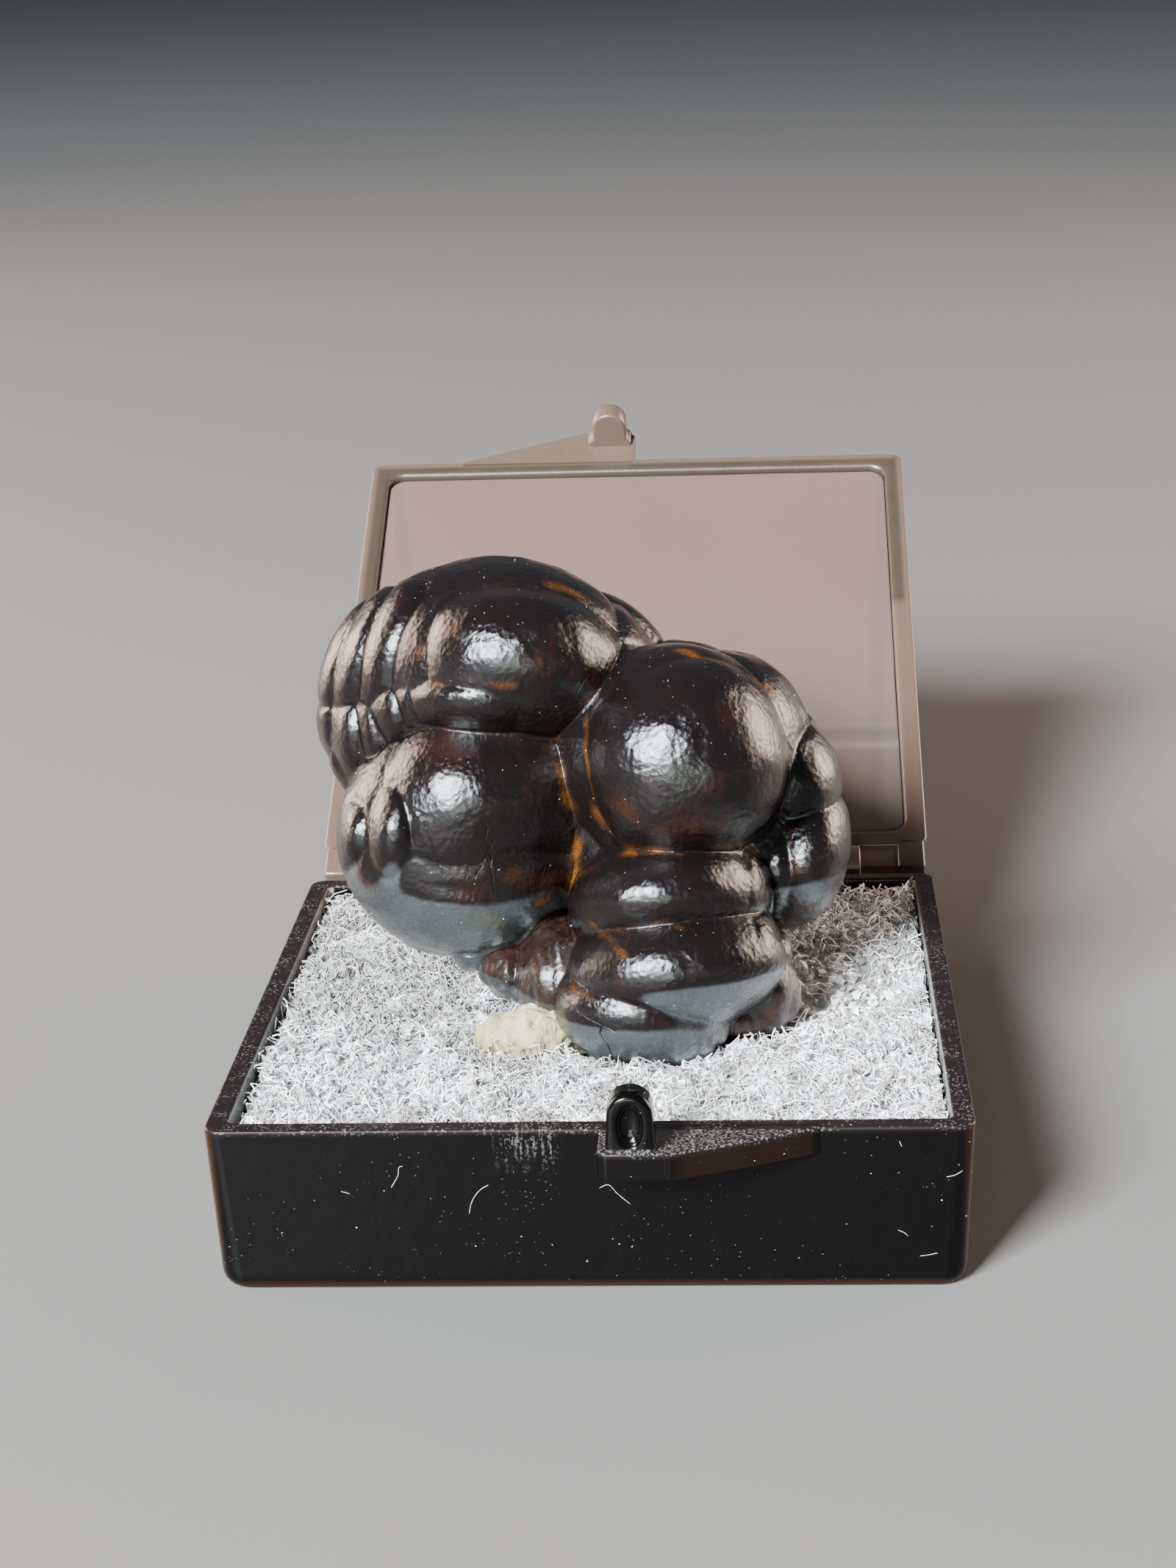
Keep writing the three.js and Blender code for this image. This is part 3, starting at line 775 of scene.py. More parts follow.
def ore_finish(ore):
    """Polished ore with rust and matt brown knobs, painted shade on sideways faces and a painted foam
    reflection on downward faces.
    """
    f = Finish("polished_ore")
    brown = f.attribute("brown")
    up = f.attribute("up")
    broad = f.noise(0.28, 3.0, 0.55)
    mottled = f.noise(2.6, 4.0, 0.65)
    gritty = f.noise(6.0, 4.0, 0.7)
    grain = f.noise(7.0, 5.0, 0.72)
    black = f.mix(f.step(broad + (mottled - 0.5) * 0.35, 0.54, 0.74), rgba(ore.dark), rgba(ore.maroon))
    colour = f.mix(brown * f.step(mottled, 0.3, 0.6), black, rgba(ore.brown))
    crack = f.cracks(CRACKS) * f.step(f.attribute("cracked"), 0.15, 0.4)
    normal = f.bump(grain * 0.45 + f.cells(3.6) * 0.55, 0.040)
    normal = f.bump(f.noise(1.5, 3.0, 0.5, 0.4) - crack * 0.6, 0.035, normal)
    gloss = f.shader(colour, 0.055 + grain * 0.11 + brown * 0.20, normal, IOR=1.44, Specular_Tint=COOL_GLOSS)
    # Painted shade: a copy of the gloss that reflects less, laid on faces that look sideways
    dimmed_reflection = f.shader(colour, 0.12 + grain * 0.12, normal, IOR=1.27)
    # Painted reflection: a blue-grey copy that reflects more, laid on faces that look down over the foam
    foam_mirror = f.shader(FOAM_MIRROR_BASE, 0.22 + grain * 0.12, normal, IOR=2.0, Specular_Tint=FOAM_MIRROR_TINT)
    # Faces that look sideways take the painted shade, and faces that look down over the foam the painted
    # reflection
    level = f.step(up + (mottled - 0.5) * 0.15, 0.17, 0.04) * (1.0 - brown)
    below = f.step(f.attribute("over_foam") + (mottled - 0.5) * 0.3, 0.2, 0.8) * (1.0 - brown)
    polish_and_painted_reflection = f.blend(below * (1.0 - crack), f.blend(level * 0.85, gloss, dimmed_reflection), foam_mirror)
    stain = f.attribute("rust")
    patch = f.step(stain * 1.1 + (mottled - 0.5) * 0.55 + (gritty - 0.5) * 0.5, 0.16, 0.90)
    film = f.step(f.attribute("crease") * (0.35 + broad) + (mottled - 0.5) * 0.5, 0.80, 1.05) * 0.16
    rusty = f.mix(f.step(stain + (gritty - 0.5) * 0.8, 0.60, 1.25), rgba(ore.rust), rgba(ore.orange))
    dust = f.step(f.cells(2.4), 0.060, 0.045) * f.step(up, -0.2, 0.5)
    matt = f.shader(f.mix(dust, rusty, GREY_DUST), 0.4, normal, IOR=1.25)
    powder = 0.35 + f.step(f.noise(12.0, 3.0, 0.7), 0.42, 0.56) * 0.65
    cover = f.clip(patch * powder * 0.9 + film + dust * 0.8)
    return f.done(f.blend(cover, polish_and_painted_reflection, matt))


def tray_finish(box):
    """Black plastic with a worn rim, a scuff in front and dust on its shelf and peg; a painted reddish glow
    on the front's edges, a painted reflection on the shelf's front and a painted pale sheen on the inner side
    walls.
    """
    f = Finish("black_plastic")
    x, y, z = f.split(f.place())
    fine = f.noise(9.0, 4.0, 0.7)
    specks = f.step(f.cells(3.4), 0.085, 0.055) * f.step(f.noise(0.35), 0.45, 0.6)
    rim = f.band(z, (7.1, 7.36), (7.6, 7.45))
    on_shelf = f.step(y, -15.95, -16.1)
    shelf_top = on_shelf * f.band(z, (7.3, 7.38), (7.6, 7.45))
    # Painted reflection on the right of the shelf's sloping front
    shelf_reflection = on_shelf * f.step(z, 7.3, 7.2) * f.step(x, 3.0, 4.6)
    peg_top = on_shelf * f.step(z, 10.1, 10.45)
    on_front = f.step(y, -15.0, -15.4)
    scuffed = on_front * f.band(x, (-4.0, -3.3), (-1.0, -1.5))
    streaks = f.noise(1.0, 4.0, 0.7, at=f.vector("MULTIPLY", f.place(), (6.5, 1.0, 0.8)))
    scuff = scuffed * f.step(z, 5.2, 6.8) * f.step(streaks + (fine - 0.5) * 0.9, 0.54, 0.66)
    cloud = scuffed * f.band(z, (3.2, 4.2), (6.2, 5.0)) * f.step(f.cells(5.5), 0.12, 0.07)
    powder = f.step(f.cells(6.5), 0.42, 0.25) * f.step(f.noise(0.8, 3.0), 0.40, 0.62)
    dusty = rim * powder * 0.35 + shelf_top * f.step(f.noise(8.0, 3.0, 0.7), 0.50, 0.62) * 0.6
    cover = f.clip(specks * 0.5 + dusty + scuff * 0.30 + cloud * 0.7 + peg_top * powder * 0.30)
    # Painted glow: a reddish line along the front's side edges and its foot
    edges = f.step(abs(x), 15.25, 15.75) * on_front + on_front * f.step(z, 0.55, 0.15)
    # Painted light: a pale sheen high on both inner side walls
    inside = f.band(z, (5.9, 6.4), (7.36, 7.2)) * f.step(y, -15.2, -15.0)
    base = f.mix(shelf_reflection * 0.8, rgba(box.black), SHELF_REFLECTION)
    base = f.mix(f.clip(edges), base, EDGE_GLOW)
    base = f.mix(rim * 0.8, base, WORN_RIM)
    base = f.mix(inside * f.band(abs(x), (14.6, 14.8), (15.25, 15.1)), base, SIDE_WALL_LIGHT)
    normal = f.bump(fine, 0.004, f.bump(f.noise(0.9), 0.02))
    rough = 0.14 + cover * 0.6 + f.noise(1.6, 3.0) * 0.06 + rim * 0.14
    return f.done(f.shader(f.mix(cover, base, rgba(box.dust)), rough, normal, IOR=1.22))


def lid_height(f):
    """Distance up the opened lid from its hinge side, in millimetres."""
    angle = math.radians(OPEN_ANGLE)
    along = (0.0, -math.cos(angle), math.sin(angle))
    foot = open_lid(np.array([[0.0, BOX_HALF, MOUTH_Z]]))[0]
    return f.vector("DOT_PRODUCT", f.place(), along, output=1) - float(foot @ np.array(along))


def lid_finish(box):
    """Taupe plastic with a greenish-brown upper band of painted shade inside its frame, and pink corners at
    the foot painted lighter against the shade there.
    """
    f = Finish("taupe_plastic")
    height = lid_height(f)
    x, _y, _z = f.split(f.place())
    across = f.maths("MAXIMUM", abs(x), height - 15.8)
    framed = f.band(across, (14.2, 14.5), (15.70, 15.35))
    # Painted shade: the upper band of the frame is darker and greenish-brown
    upper = f.step(height + (f.noise(0.4) - 0.5) * 0.5, 18.2, 19.2) * framed
    # Pink corners at the foot, painted lighter against the shade that falls there
    corner = f.step(height, -0.2, -0.5) * f.band(abs(x), (11.0, 11.6), (14.2, 14.0))
    specks = f.step(f.cells(2.2), 0.06, 0.04)
    colour = f.mix(upper * 0.9, rgba(box.taupe), rgba(box.olive_shade))
    colour = f.mix(f.noise(0.5, 3.0) * 0.35, colour, LID_SHADE)
    colour = f.mix(corner * 0.8, colour, LIT_PINK_CORNER)
    colour = f.mix(specks * 0.5, colour, rgba(box.dust))
    normal = f.bump(f.noise(10.0, 3.0), 0.006, f.bump(f.noise(0.8), 0.02))
    rough = 0.30 + f.noise(2.0, 3.0) * 0.14 + specks * 0.3
    return f.done(f.shader(colour, rough, normal, IOR=1.5))


def pad_finish(box):
    """Soft skin, paler towards the top as a painted reflection, with a cross fold low down and a fold along
    each side; the folds' valleys carry painted shade, the ridge under the cross fold a painted highlight, and
    the foot is painted lighter against the shade there.
    """
    f = Finish("lid_pad_skin")
    height = lid_height(f)
    x, _y, _z = f.split(f.place())
    sway = (f.noise(0.35) - 0.5) * 0.5
    across = f.step(x, -2.0, 3.0)
    # Each fold is a bump whose valley also carries painted shade; the ridge under the cross fold carries a
    # painted highlight
    valley_shade = f.step(abs(height - 8.9 + sway * 0.5), 0.65, 0.0) * across
    ridge_highlight = f.step(abs(height - 7.9 + sway * 0.5), 0.50, 0.0) * across
    left = f.step(abs(x + 14.3 + (height - 30.2) * 0.189 + sway * 0.4), 0.9, 0.0) * f.step(height, 21.0, 24.0)
    right = f.step(abs(x - 13.74 - (height - 8.95) * 0.048 + sway * 0.4), 0.8, 0.0)
    sides = (left + right) * 0.6
    # Painted reflection: the colour shifts from the foot's to the top's up the pad
    colour = f.mix(f.step(height, 6.0, 27.0), rgba(box.pad_low), rgba(box.pad_top))
    colour = f.mix(f.step(f.noise(0.22, 3.0), 0.45, 0.75) * 0.2, colour, PAD_CLOUD)
    colour = f.mix(f.clip(valley_shade + sides) * 0.45, colour, PAD_FOLD_SHADE)
    colour = f.mix(ridge_highlight * 0.45, colour, PAD_FOLD_HIGHLIGHT)
    # Painted light: the foot is lighter against the shade that falls there
    colour = f.mix(f.step(height, 7.4, 5.5) * 0.4, colour, PAD_FOOT_LIGHT)
    grain = f.noise(12.0, 3.0, 0.7)
    normal = f.bump(ridge_highlight - valley_shade - sides, 0.05, f.bump(grain, 0.010))
    return f.done(f.shader(colour, 0.5 + grain * 0.12, normal, IOR=1.45))


def foam_finish(foam, name, rough):
    """White, greyer in random clouds that painted shade makes denser at the back and the left, and that
    painted light thins at the right.
    """
    f = Finish(name)
    x, y, _z = f.split(f.place())
    # Painted shade: more grey cloud at the back on the left; painted light: less at the right, where the
    # ore's shade falls
    rear = f.step(y, -10.0, 0.0) * f.step(x, 7.0, 3.0)
    cloud = f.step(f.noise(0.45, 3.0) + rear * 0.16, 0.48, 0.64) * (0.4 + f.step(x, 9.0, 6.0) * 0.6)
    grain = f.noise(3.0, 3.0)
    white = f.step(f.attribute("tone") + (grain - 0.5) * 0.5, 0.0, 0.8) * (1.0 - cloud * 0.75)
    colour = f.mix(white, rgba(foam.grey), rgba(foam.white))
    return f.done(f.shader(colour, rough, f.bump(grain, 0.02), IOR=1.5))


def crumb_finish(foam):
    """White glossy foam crumbs."""
    f = Finish("foam_crumb")
    colour = f.mix(f.noise(2.0), rgba(foam.white), CRUMB_WHITE)
    return f.done(f.shader(colour, 0.12, f.bump(f.noise(6.0), 0.02), IOR=1.5))


def putty_finish():
    """Cream putty with upright pressed folds and a few dark cracks."""
    f = Finish("putty")
    folds = f.noise(1.7, 3.0, 0.6, 0.5, f.vector("MULTIPLY", f.place(), (1.0, 1.0, 0.35)))
    crack = f.step(folds, 0.45, 0.38) * f.step(f.noise(0.9), 0.35, 0.5)
    colour = f.mix(f.step(f.noise(0.7, 3.0), 0.4, 0.65), PUTTY_STAIN, PUTTY_CREAM)
    colour = f.mix(crack * 0.5, colour, PUTTY_CRACK)
    normal = f.bump(f.noise(5.0, 4.0), 0.03, f.bump(folds, 0.22))
    return f.done(f.shader(colour, 0.72, normal, IOR=1.45))


def dust_finish():
    """Pale specks and hairs."""
    f = Finish("white_dust")
    return f.done(f.shader(f.mix(f.noise(3.0), DARK_SPECK, PALE_SPECK), 0.8, IOR=1.45))


# Scattering with Geometry Nodes


class Growth(Nodes):
    """A Geometry Nodes tree with named inputs that scatters shapes on a skin."""

    def __init__(self, name):
        super().__init__(bpy.data.node_groups.new(name, "GeometryNodeTree"))
        for way in ("INPUT", "OUTPUT"):
            self.tree.interface.new_socket("Geometry", in_out=way, socket_type="NodeSocketGeometry")
        self.entry = self.tree.nodes.new("NodeGroupInput")
        self.ground = Wire(self, self.entry.outputs["Geometry"])
        self.values = {}

    def input(self, name, kind, value):
        socket = self.tree.interface.new_socket(name, in_out="INPUT", socket_type=kind)
        self.values[socket.identifier] = value
        return Wire(self, self.entry.outputs[name])

    def random(self, low, high, seed, kind="FLOAT"):
        """A random value for each spot."""
        first, output = {"FLOAT": (2, 1), "FLOAT_VECTOR": (0, 0), "INT": (4, 2)}[kind]
        return self.node("FunctionNodeRandomValue", {"data_type": kind},
                         {first: low, first + 1: high, "Seed": seed}, output)

    def moved(self, geometry, scale, along=None, strength=1.0):
        """Geometry pushed about by noise, in space or along a curve."""
        kind, place = ({}, {}) if along is None else ({"noise_dimensions": "1D"}, {"W": along})
        drift = self.node("ShaderNodeTexNoise", kind, {**place, "Scale": scale, "Detail": 0.0}, 1)
        offset = self.vector("SUBTRACT", drift, (0.5, 0.5, 0.5))
        offset = self.vector("MULTIPLY", offset, (strength, strength, strength))
        return self.node("GeometryNodeSetPosition", {}, {"Geometry": geometry, "Offset": offset})

    def instance(self, geometry):
        return self.node("GeometryNodeGeometryToInstance", {}, {0: geometry})

    def scatter(self, density, seed, shapes, sizes, tilt, mask, finish):
        """Shapes picked at random, turned at random and up to tilt off the skin's plane."""
        density = self.input("Density", "NodeSocketFloat", density)
        seed = self.input("Seed", "NodeSocketInt", seed)
        masked = self.node("GeometryNodeInputNamedAttribute", {"data_type": "FLOAT"}, {"Name": mask})
        spots = self.node("GeometryNodeDistributePointsOnFaces", {},
                          {"Mesh": self.ground, "Density": density * masked, "Seed": seed})
        kinds = self.tree.nodes.new("GeometryNodeJoinGeometry")
        for shape in reversed(shapes):
            self.tree.links.new(shape.socket, kinds.inputs[0])
        turn = self.random((-tilt, -tilt, -math.pi), (tilt, tilt, math.pi), seed + 1, "FLOAT_VECTOR")
        placed = self.node("GeometryNodeInstanceOnPoints", {}, {
            "Points": spots, "Instance": Wire(self, kinds.outputs[0]), "Pick Instance": True,
            "Instance Index": self.random(0, len(shapes) - 1, seed + 3, "INT"),
            "Rotation": self.node("FunctionNodeEulerToRotation", {}, {0: turn}),
            "Scale": self.random(*sizes, seed + 2)})
        toned = self.node("GeometryNodeStoreNamedAttribute", {"domain": "INSTANCE", "data_type": "FLOAT"},
                          {"Geometry": placed, "Name": "tone", "Value": self.random(0.0, 1.0, seed + 4)})
        real = self.node("GeometryNodeRealizeInstances", {}, {0: toned})
        dressed = self.node("GeometryNodeSetMaterial", {}, {"Geometry": real, "Material": finish})
        self.node("NodeGroupOutput", {}, {"Geometry": dressed})

    def grown_on(self, points, faces, masks):
        """A mesh of what the tree grows on a skin; all in millimetres."""
        mesh = bpy.data.meshes.new("ground")
        mesh.from_pydata(np.asarray(points).tolist(), [], faces)
        holder = new_holder(mesh)
        for name, values in masks.items():
            set_attribute(holder, name, values)
        modifier = holder.modifiers.new("Grow", "NODES")
        modifier.node_group = self.tree
        for identifier, value in self.values.items():
            modifier[identifier] = value
        grown = evaluated(holder)
        holder.modifiers.remove(modifier)
        bpy.data.objects.remove(holder)
        bpy.data.meshes.remove(mesh)
        return grown


def strand_shapes(g, foam):
    """Curled strands, from an open bow to nearly a ring, each an instance of its own."""
    loop = g.input("Loop", "NodeSocketFloat", foam.loop / MM)
    radius = g.input("Radius", "NodeSocketFloat", foam.thickness / MM / 2)
    shapes = []
    for kind in range(8):
        arc = g.node("GeometryNodeCurveArc", {}, {
            "Resolution": 9, "Radius": loop * (0.7 + 0.09 * kind), "Start Angle": 0.3 * kind,
            "Sweep Angle": 4.9 - 0.45 * kind})
        along = g.node("GeometryNodeSplineParameter") * 2.2 + 3.7 * kind
        profile = g.node("GeometryNodeCurvePrimitiveCircle", {}, {"Resolution": 3, "Radius": radius})
        shapes.append(g.instance(g.node("GeometryNodeCurveToMesh", {}, {
            "Curve": g.moved(arc, 1.0, along, 0.9), "Profile Curve": profile, "Fill Caps": True})))
    return shapes


def flake_shapes(g):
    """Thin angular flakes, each an instance of its own."""
    size = g.input("Size", "NodeSocketFloat", 0.55)
    shapes = []
    for kind in range(4):
        sheet = g.node("GeometryNodeMeshCube", {}, {
            "Size": (0.9 - 0.12 * kind, 0.42 + 0.1 * kind, 0.10), "Vertices X": 3, "Vertices Y": 2,
            "Vertices Z": 2})
        shapes.append(g.instance(g.node("GeometryNodeTransform", {}, {
            "Geometry": g.moved(sheet, 1.4 + 0.4 * kind),
            "Scale": g.node("ShaderNodeCombineXYZ", {}, {0: size, 1: size, 2: size})})))
    return shapes


def speck_shapes(g):
    """Rough little grains, each an instance of its own."""
    shapes = []
    for kind in range(3):
        grain = g.node("GeometryNodeMeshIcoSphere", {}, {"Radius": 0.5, "Subdivisions": 1})
        shapes.append(g.instance(g.node("GeometryNodeTransform", {}, {
            "Geometry": g.moved(grain, 2.0 + kind), "Scale": (1.0, 0.8 + 0.3 * kind, 0.45)})))
    return shapes


def grown_piece(name, grown, limit=None):
    """A grown mesh in millimetres made a piece in metres, kept inside a square of half width limit."""
    points = coordinates(grown)
    if limit is not None:
        points[:, :2] = np.clip(points[:, :2], -limit, limit)
    grown.vertices.foreach_set("co", (points * MM).ravel())
    grown.name = name
    grown.update()
    return declare(new_holder(grown), BOX)


# Operators


FACETS = 170
CREASE_WIDTH = 0.5
CREASE_DEPTH = 0.24
CRACK_REACH = 0.5
MIRROR_TOP_Z = 16.0  # above this the ore doesn't mirror the foam


class SPECIMEN_OT_ore(bpy.types.Operator):
    """Kidney ore: fused glossy lobes with rust in the creases"""

    bl_idname = "specimen.ore"
    bl_label = "Kidney Ore"

    def execute(self, context):
        ore = context.scene.specimen_ore
        lobes = Lobes(LOBES, ore.softness / MM)
        points, faces = lobes.mesh(ore.voxel / MM)
        normal = lobes.skin(points)[1]
        crease, nearest = lobes.creases(points, CREASE_WIDTH)
        brown = np.array([BROWN_LOBES.get(name, 0.0) for name in lobes.names])[nearest]
        points = points + normal * self.relief(points, crease, brown)[:, None]
        made = piece("kidney_ore", points, faces, BOX, ore_finish(ore), ("hematite_specimen",))
        near_crack = np.min([distance_to_line(points, lobes.on_skin(line)) for line in CRACKS], axis=0)
        low = np.clip((MIRROR_TOP_Z - points[:, 2]) / 1.5, 0, 1)
        for name, values in {
            "crease": crease,
            "rust": self.rust(points, lobes),
            "cracked": np.exp(-(near_crack / CRACK_REACH) ** 2),
            "brown": brown,
            "up": normal[:, 2],
            # Where the painted reflection of the foam goes: faces that look down over it, fading out above
            # MIRROR_TOP_Z
            "over_foam": np.clip((0.27 - 0.033 * points[:, 2] - normal[:, 2]) / 0.16, 0, 1) * low,
        }.items():
            set_attribute(made, name, values)
        return {"FINISHED"}

    @staticmethod
    def relief(points, crease, brown):
        """Height in millimetres: low waves, flat facets, folds on the brown lobes, and the creases' depth."""
        random = np.random.default_rng(11)
        seeds = points[random.integers(0, len(points), FACETS)]
        facets = cell_gap(points + 0.35 * wander(points, 3.0, 1), seeds)
        lift = 0.022 * ripple(points, 2.6, 21) + 0.016 * ripple(points, 1.1, 22)
        lift -= 0.022 * np.exp(-facets / 0.20)
        folds = np.abs(ripple(points * (1.0, 0.8, 0.25), 1.5, 24)) - 0.7
        lift += np.clip(brown * 3, 0, 1) * 0.14 * folds
        return lift * (1 - 0.8 * crease) - CREASE_DEPTH * crease ** 2.2

    @staticmethod
    def rust(points, lobes):
        """How rusty each point is: along the rust lines, with a wandering edge and broken places."""
        strayed = points + 0.13 * wander(points, 1.6, 61)
        spread = np.clip(0.85 + 0.3 * ripple(points, 2.4, 64), 0.3, 1.5)
        broken = np.clip(0.85 + 0.4 * ripple(points, 1.9, 65), 0.15, 1.25)
        rust = np.zeros(len(points))
        for line, width, strength in RUST_LINES.values():
            away = distance_to_line(strayed, lobes.on_skin(line)) / (width * spread)
            rust = np.maximum(rust, strength * np.exp(-away ** 2) * broken)
        return rust


class SPECIMEN_OT_putty(bpy.types.Operator):
    """Putty: pressed lumps that hold the ore"""

    bl_idname = "specimen.putty"
    bl_label = "Putty"

    def execute(self, context):
        lumps = Lobes(LUMPS, 0.2)
        points, faces = lumps.mesh(0.1)
        normal = lumps.skin(points)[1]
        folds = np.minimum(np.abs(ripple(points * (1.2, 1.0, 0.25), 1.5, 33)), 0.9)
        lift = 0.07 * ripple(points, 1.3, 31) + 0.04 * ripple(points, 0.6, 32) + 0.16 * (folds - 1)
        piece("putty_lumps", points + normal * lift[:, None], faces, BOX, putty_finish(),
              ("mineral_tack",))
        return {"FINISHED"}


def knuckle(start, end, steps=14):
    """An arc round the hinge axis, in Y and Z."""
    angles = [math.radians(start + (end - start) * i / steps) for i in range(steps + 1)]
    return [(HINGE_Y + KNUCKLE_R * math.cos(a), HINGE_Z + KNUCKLE_R * math.sin(a)) for a in angles]


# The peg's loops from its back to its front edge, each [distance behind the face, size], and then
# those of the stepped dimple in its face
PEG_ROUNDING = [(0.26, 1.0), (0.11, 0.97), (0.03, 0.91), (0.0, 0.84)]
PEG_DIMPLE = [(0.0, 1.08), (0.02, 1.0), (0.11, 0.93), (0.15, 0.86), (0.16, 0.80), (0.24, 0.70),
              (0.29, 0.62), (0.30, 0.55), (0.36, 0.42), (0.38, 0.15)]
PEG_TAPER = 0.10
PEG_ARCH = 0.85  # height of the arch over its half width


def peg_part(x0, x1, foot, tip, y_front, y_back):
    """The catch peg: an arched post with a rounded front edge and a stepped oval dimple in its face."""
    middle = (x0 + x1) / 2
    half = (x1 - x0) / 2
    arch_z = tip - half * PEG_ARCH
    side = [(x1, foot)]
    side += [(x1 - PEG_TAPER * k / 5, z) for k, z in enumerate(np.linspace(foot + 0.4, arch_z, 6))]
    arch = [(middle + (half - PEG_TAPER) * math.cos(t), arch_z + half * PEG_ARCH * math.sin(t))
            for t in np.linspace(0, math.pi, 19)[1:-1]]
    outline = np.array(side + arch + [(x0 + x1 - x, z) for x, z in reversed(side)])
    heart = np.array([middle, (foot + tip) / 2 + 0.12])
    around = np.linspace(-math.pi / 2 + 0.35, 1.5 * math.pi - 0.35, len(outline))
    oval = heart + np.column_stack([0.56 * np.cos(around), 0.98 * np.sin(around)])
    loops = []
    for shape, steps in [(outline, [(y_back - y_front, 1.0)] + PEG_ROUNDING), (oval, PEG_DIMPLE)]:
        for depth, size in steps:
            loops.append([(x, y_front + depth, z) for x, z in heart + (shape - heart) * size])
    return lofted(loops)


class SPECIMEN_OT_tray(bpy.types.Operator):
    """Tray: black plastic with a catch shelf, a peg and hinge lugs"""

    bl_idname = "specimen.tray"
    bl_label = "Tray"

    def execute(self, context):
        box = context.scene.specimen_box
        edge = box.edge / MM
        profile = eased([
            (14.9, 0.0, 0), (15.36, 0.0, 0.25), (15.62, 0.5, 0.35), (BOX_HALF, TRAY_H, edge),
            (14.975, TRAY_H, edge), (14.72, 1.0, 0.4), (14.2, 1.0, 0),
        ])
        rings = []
        for half, z in profile:
            inside = half < 15.2 and z > 0.5
            rings.append(ring(half, z, 0.4 if inside else TRAY_CORNER + 0.3 * (1 - z / TRAY_H)))
        shelf = [(0.55, -15.4), (0.55, -18.1), (0.85, -18.4), (3.5, -18.4), (6.4, -17.3), (9.6, -15.85),
                 (9.6, -15.4)]
        shell = Shell()
        shell.add(*lofted(rings))
        shell.add(*bar(shelf, "z", 6.2, TRAY_H, 0.1))
        shell.add(*peg_part(0.88, 2.94, 6.9, 9.9, -18.3, -17.05))
        lug = [(15.5, 5.4), (16.6, 5.6), *knuckle(-70, 110), (16.3, 7.35), (15.5, 7.3)]
        for x0 in (LUG_X, -LUG_X - LUG_W):
            shell.add(*bar(lug, "x", x0, x0 + LUG_W, 0.09, 2))
        piece("black_tray", shell.points, shell.faces, BOX, tray_finish(box),
              ("base_tray",), shell.smooth)
        return {"FINISHED"}


class SPECIMEN_OT_lid(bpy.types.Operator):
    """Lid: taupe plastic frame with a catch tab, hinge ears and pins"""

    bl_idname = "specimen.lid"
    bl_label = "Lid"

    def execute(self, context):
        box = context.scene.specimen_box
        edge = box.edge / MM
        profile = eased([
            (12.6, 14.7, 0), (13.1, 14.7, 0), (13.8, 14.4, 0.3), (14.52, 13.1, 0.8), (14.78, MOUTH_Z, 0.3),
            (BOX_HALF, MOUTH_Z, edge * 1.3), (15.64, 13.3, 1.0), (15.36, 14.5, 0.5), (14.8, 15.3, 0.5),
            (14.1, 15.72, 0.5), (13.3, LID_TOP_Z, 0.5), (12.6, LID_TOP_Z, 0),
        ])
        rings = []
        for half, z in profile:
            inside = half < 15.0 and z < 14.75
            rings.append(ring(half, z, 0.9 if inside else TRAY_CORNER))
        shell = Shell()
        shell.add(*lofted(rings))
        self.catch(shell)
        self.hinge(shell)
        piece("lid_frame", open_lid(np.array(shell.points)), shell.faces, LID,
              lid_finish(box), ("lid_shell",), shell.smooth)
        return {"FINISHED"}

    @staticmethod
    def catch(shell):
        """The ramp at the front of the lid, and the tab that hangs from it."""
        ramp = [(-10.5, -15.4), (-10.5, -15.9), (-3.2, -18.4), (-0.4, -18.4), (-0.1, -18.1), (-0.1, -15.4)]
        shell.add(*bar(ramp, "z", MOUTH_Z, MOUTH_Z + 0.85, 0.1))
        middle, half = -1.6, 1.0
        round_z = MOUTH_Z - 1.35
        tab = [(middle - half - 0.42, MOUTH_Z + 0.6), (middle - half - 0.3, MOUTH_Z - 0.3),
               (middle - half, MOUTH_Z - 0.5)]
        tab += [(middle + half * math.cos(t), round_z + half * math.sin(t))
                for t in np.linspace(math.pi, 2 * math.pi, 17)]
        tab += [(middle + half, MOUTH_Z - 0.5), (middle + half + 0.25, MOUTH_Z - 0.3),
                (middle + half + 0.33, MOUTH_Z + 0.6)]
        shell.add(*bar(tab, "y", -18.3, -17.1, 0.14))

    @staticmethod
    def hinge(shell):
        """A skirt notched round the tray's lugs, and a thicker end, an ear and a pin at each side."""
        notch_in, notch_out = LUG_X - FIT_GAP, LUG_X + LUG_W + FIT_GAP
        half = [(14.4, 15.4), (14.4, 17.3), (notch_out, 17.3), (notch_out, 16.3), (notch_in, 16.3),
                (notch_in, 17.3)]
        skirt = half + [(-x, y) for x, y in reversed(half)]
        shell.add(*bar(skirt, "z", MOUTH_Z + 0.08, MOUTH_Z + 0.85, 0.06))
        ear = [(15.3, 7.7), (16.5, 7.62), *knuckle(160, 400, 20), (16.6, 9.6), (15.3, 10.8)]
        for side in (1, -1):
            low, high = sorted((side * 14.3, side * 15.7))
            end = [(low, 15.4), (high, 15.4), (high, 17.4), (low, 17.4)]
            shell.add(*bar(end, "z", MOUTH_Z, MOUTH_Z + 0.9, 0.14))
            shell.add(*bar(ear, "x", *sorted((side * notch_out, side * (notch_out + 1.4))), 0.09, 2))
            shell.add(*rod(PIN_R, *sorted((side * (LUG_X + 0.4), side * (notch_out + 0.3)))))


PAD_CORNER = 0.95
PAD_HALF = 14.72
PAD_FACE_Z = 7.86
PAD_EDGE = 0.10
PAD_GRID = (8, 48)  # faces round a corner and along a side


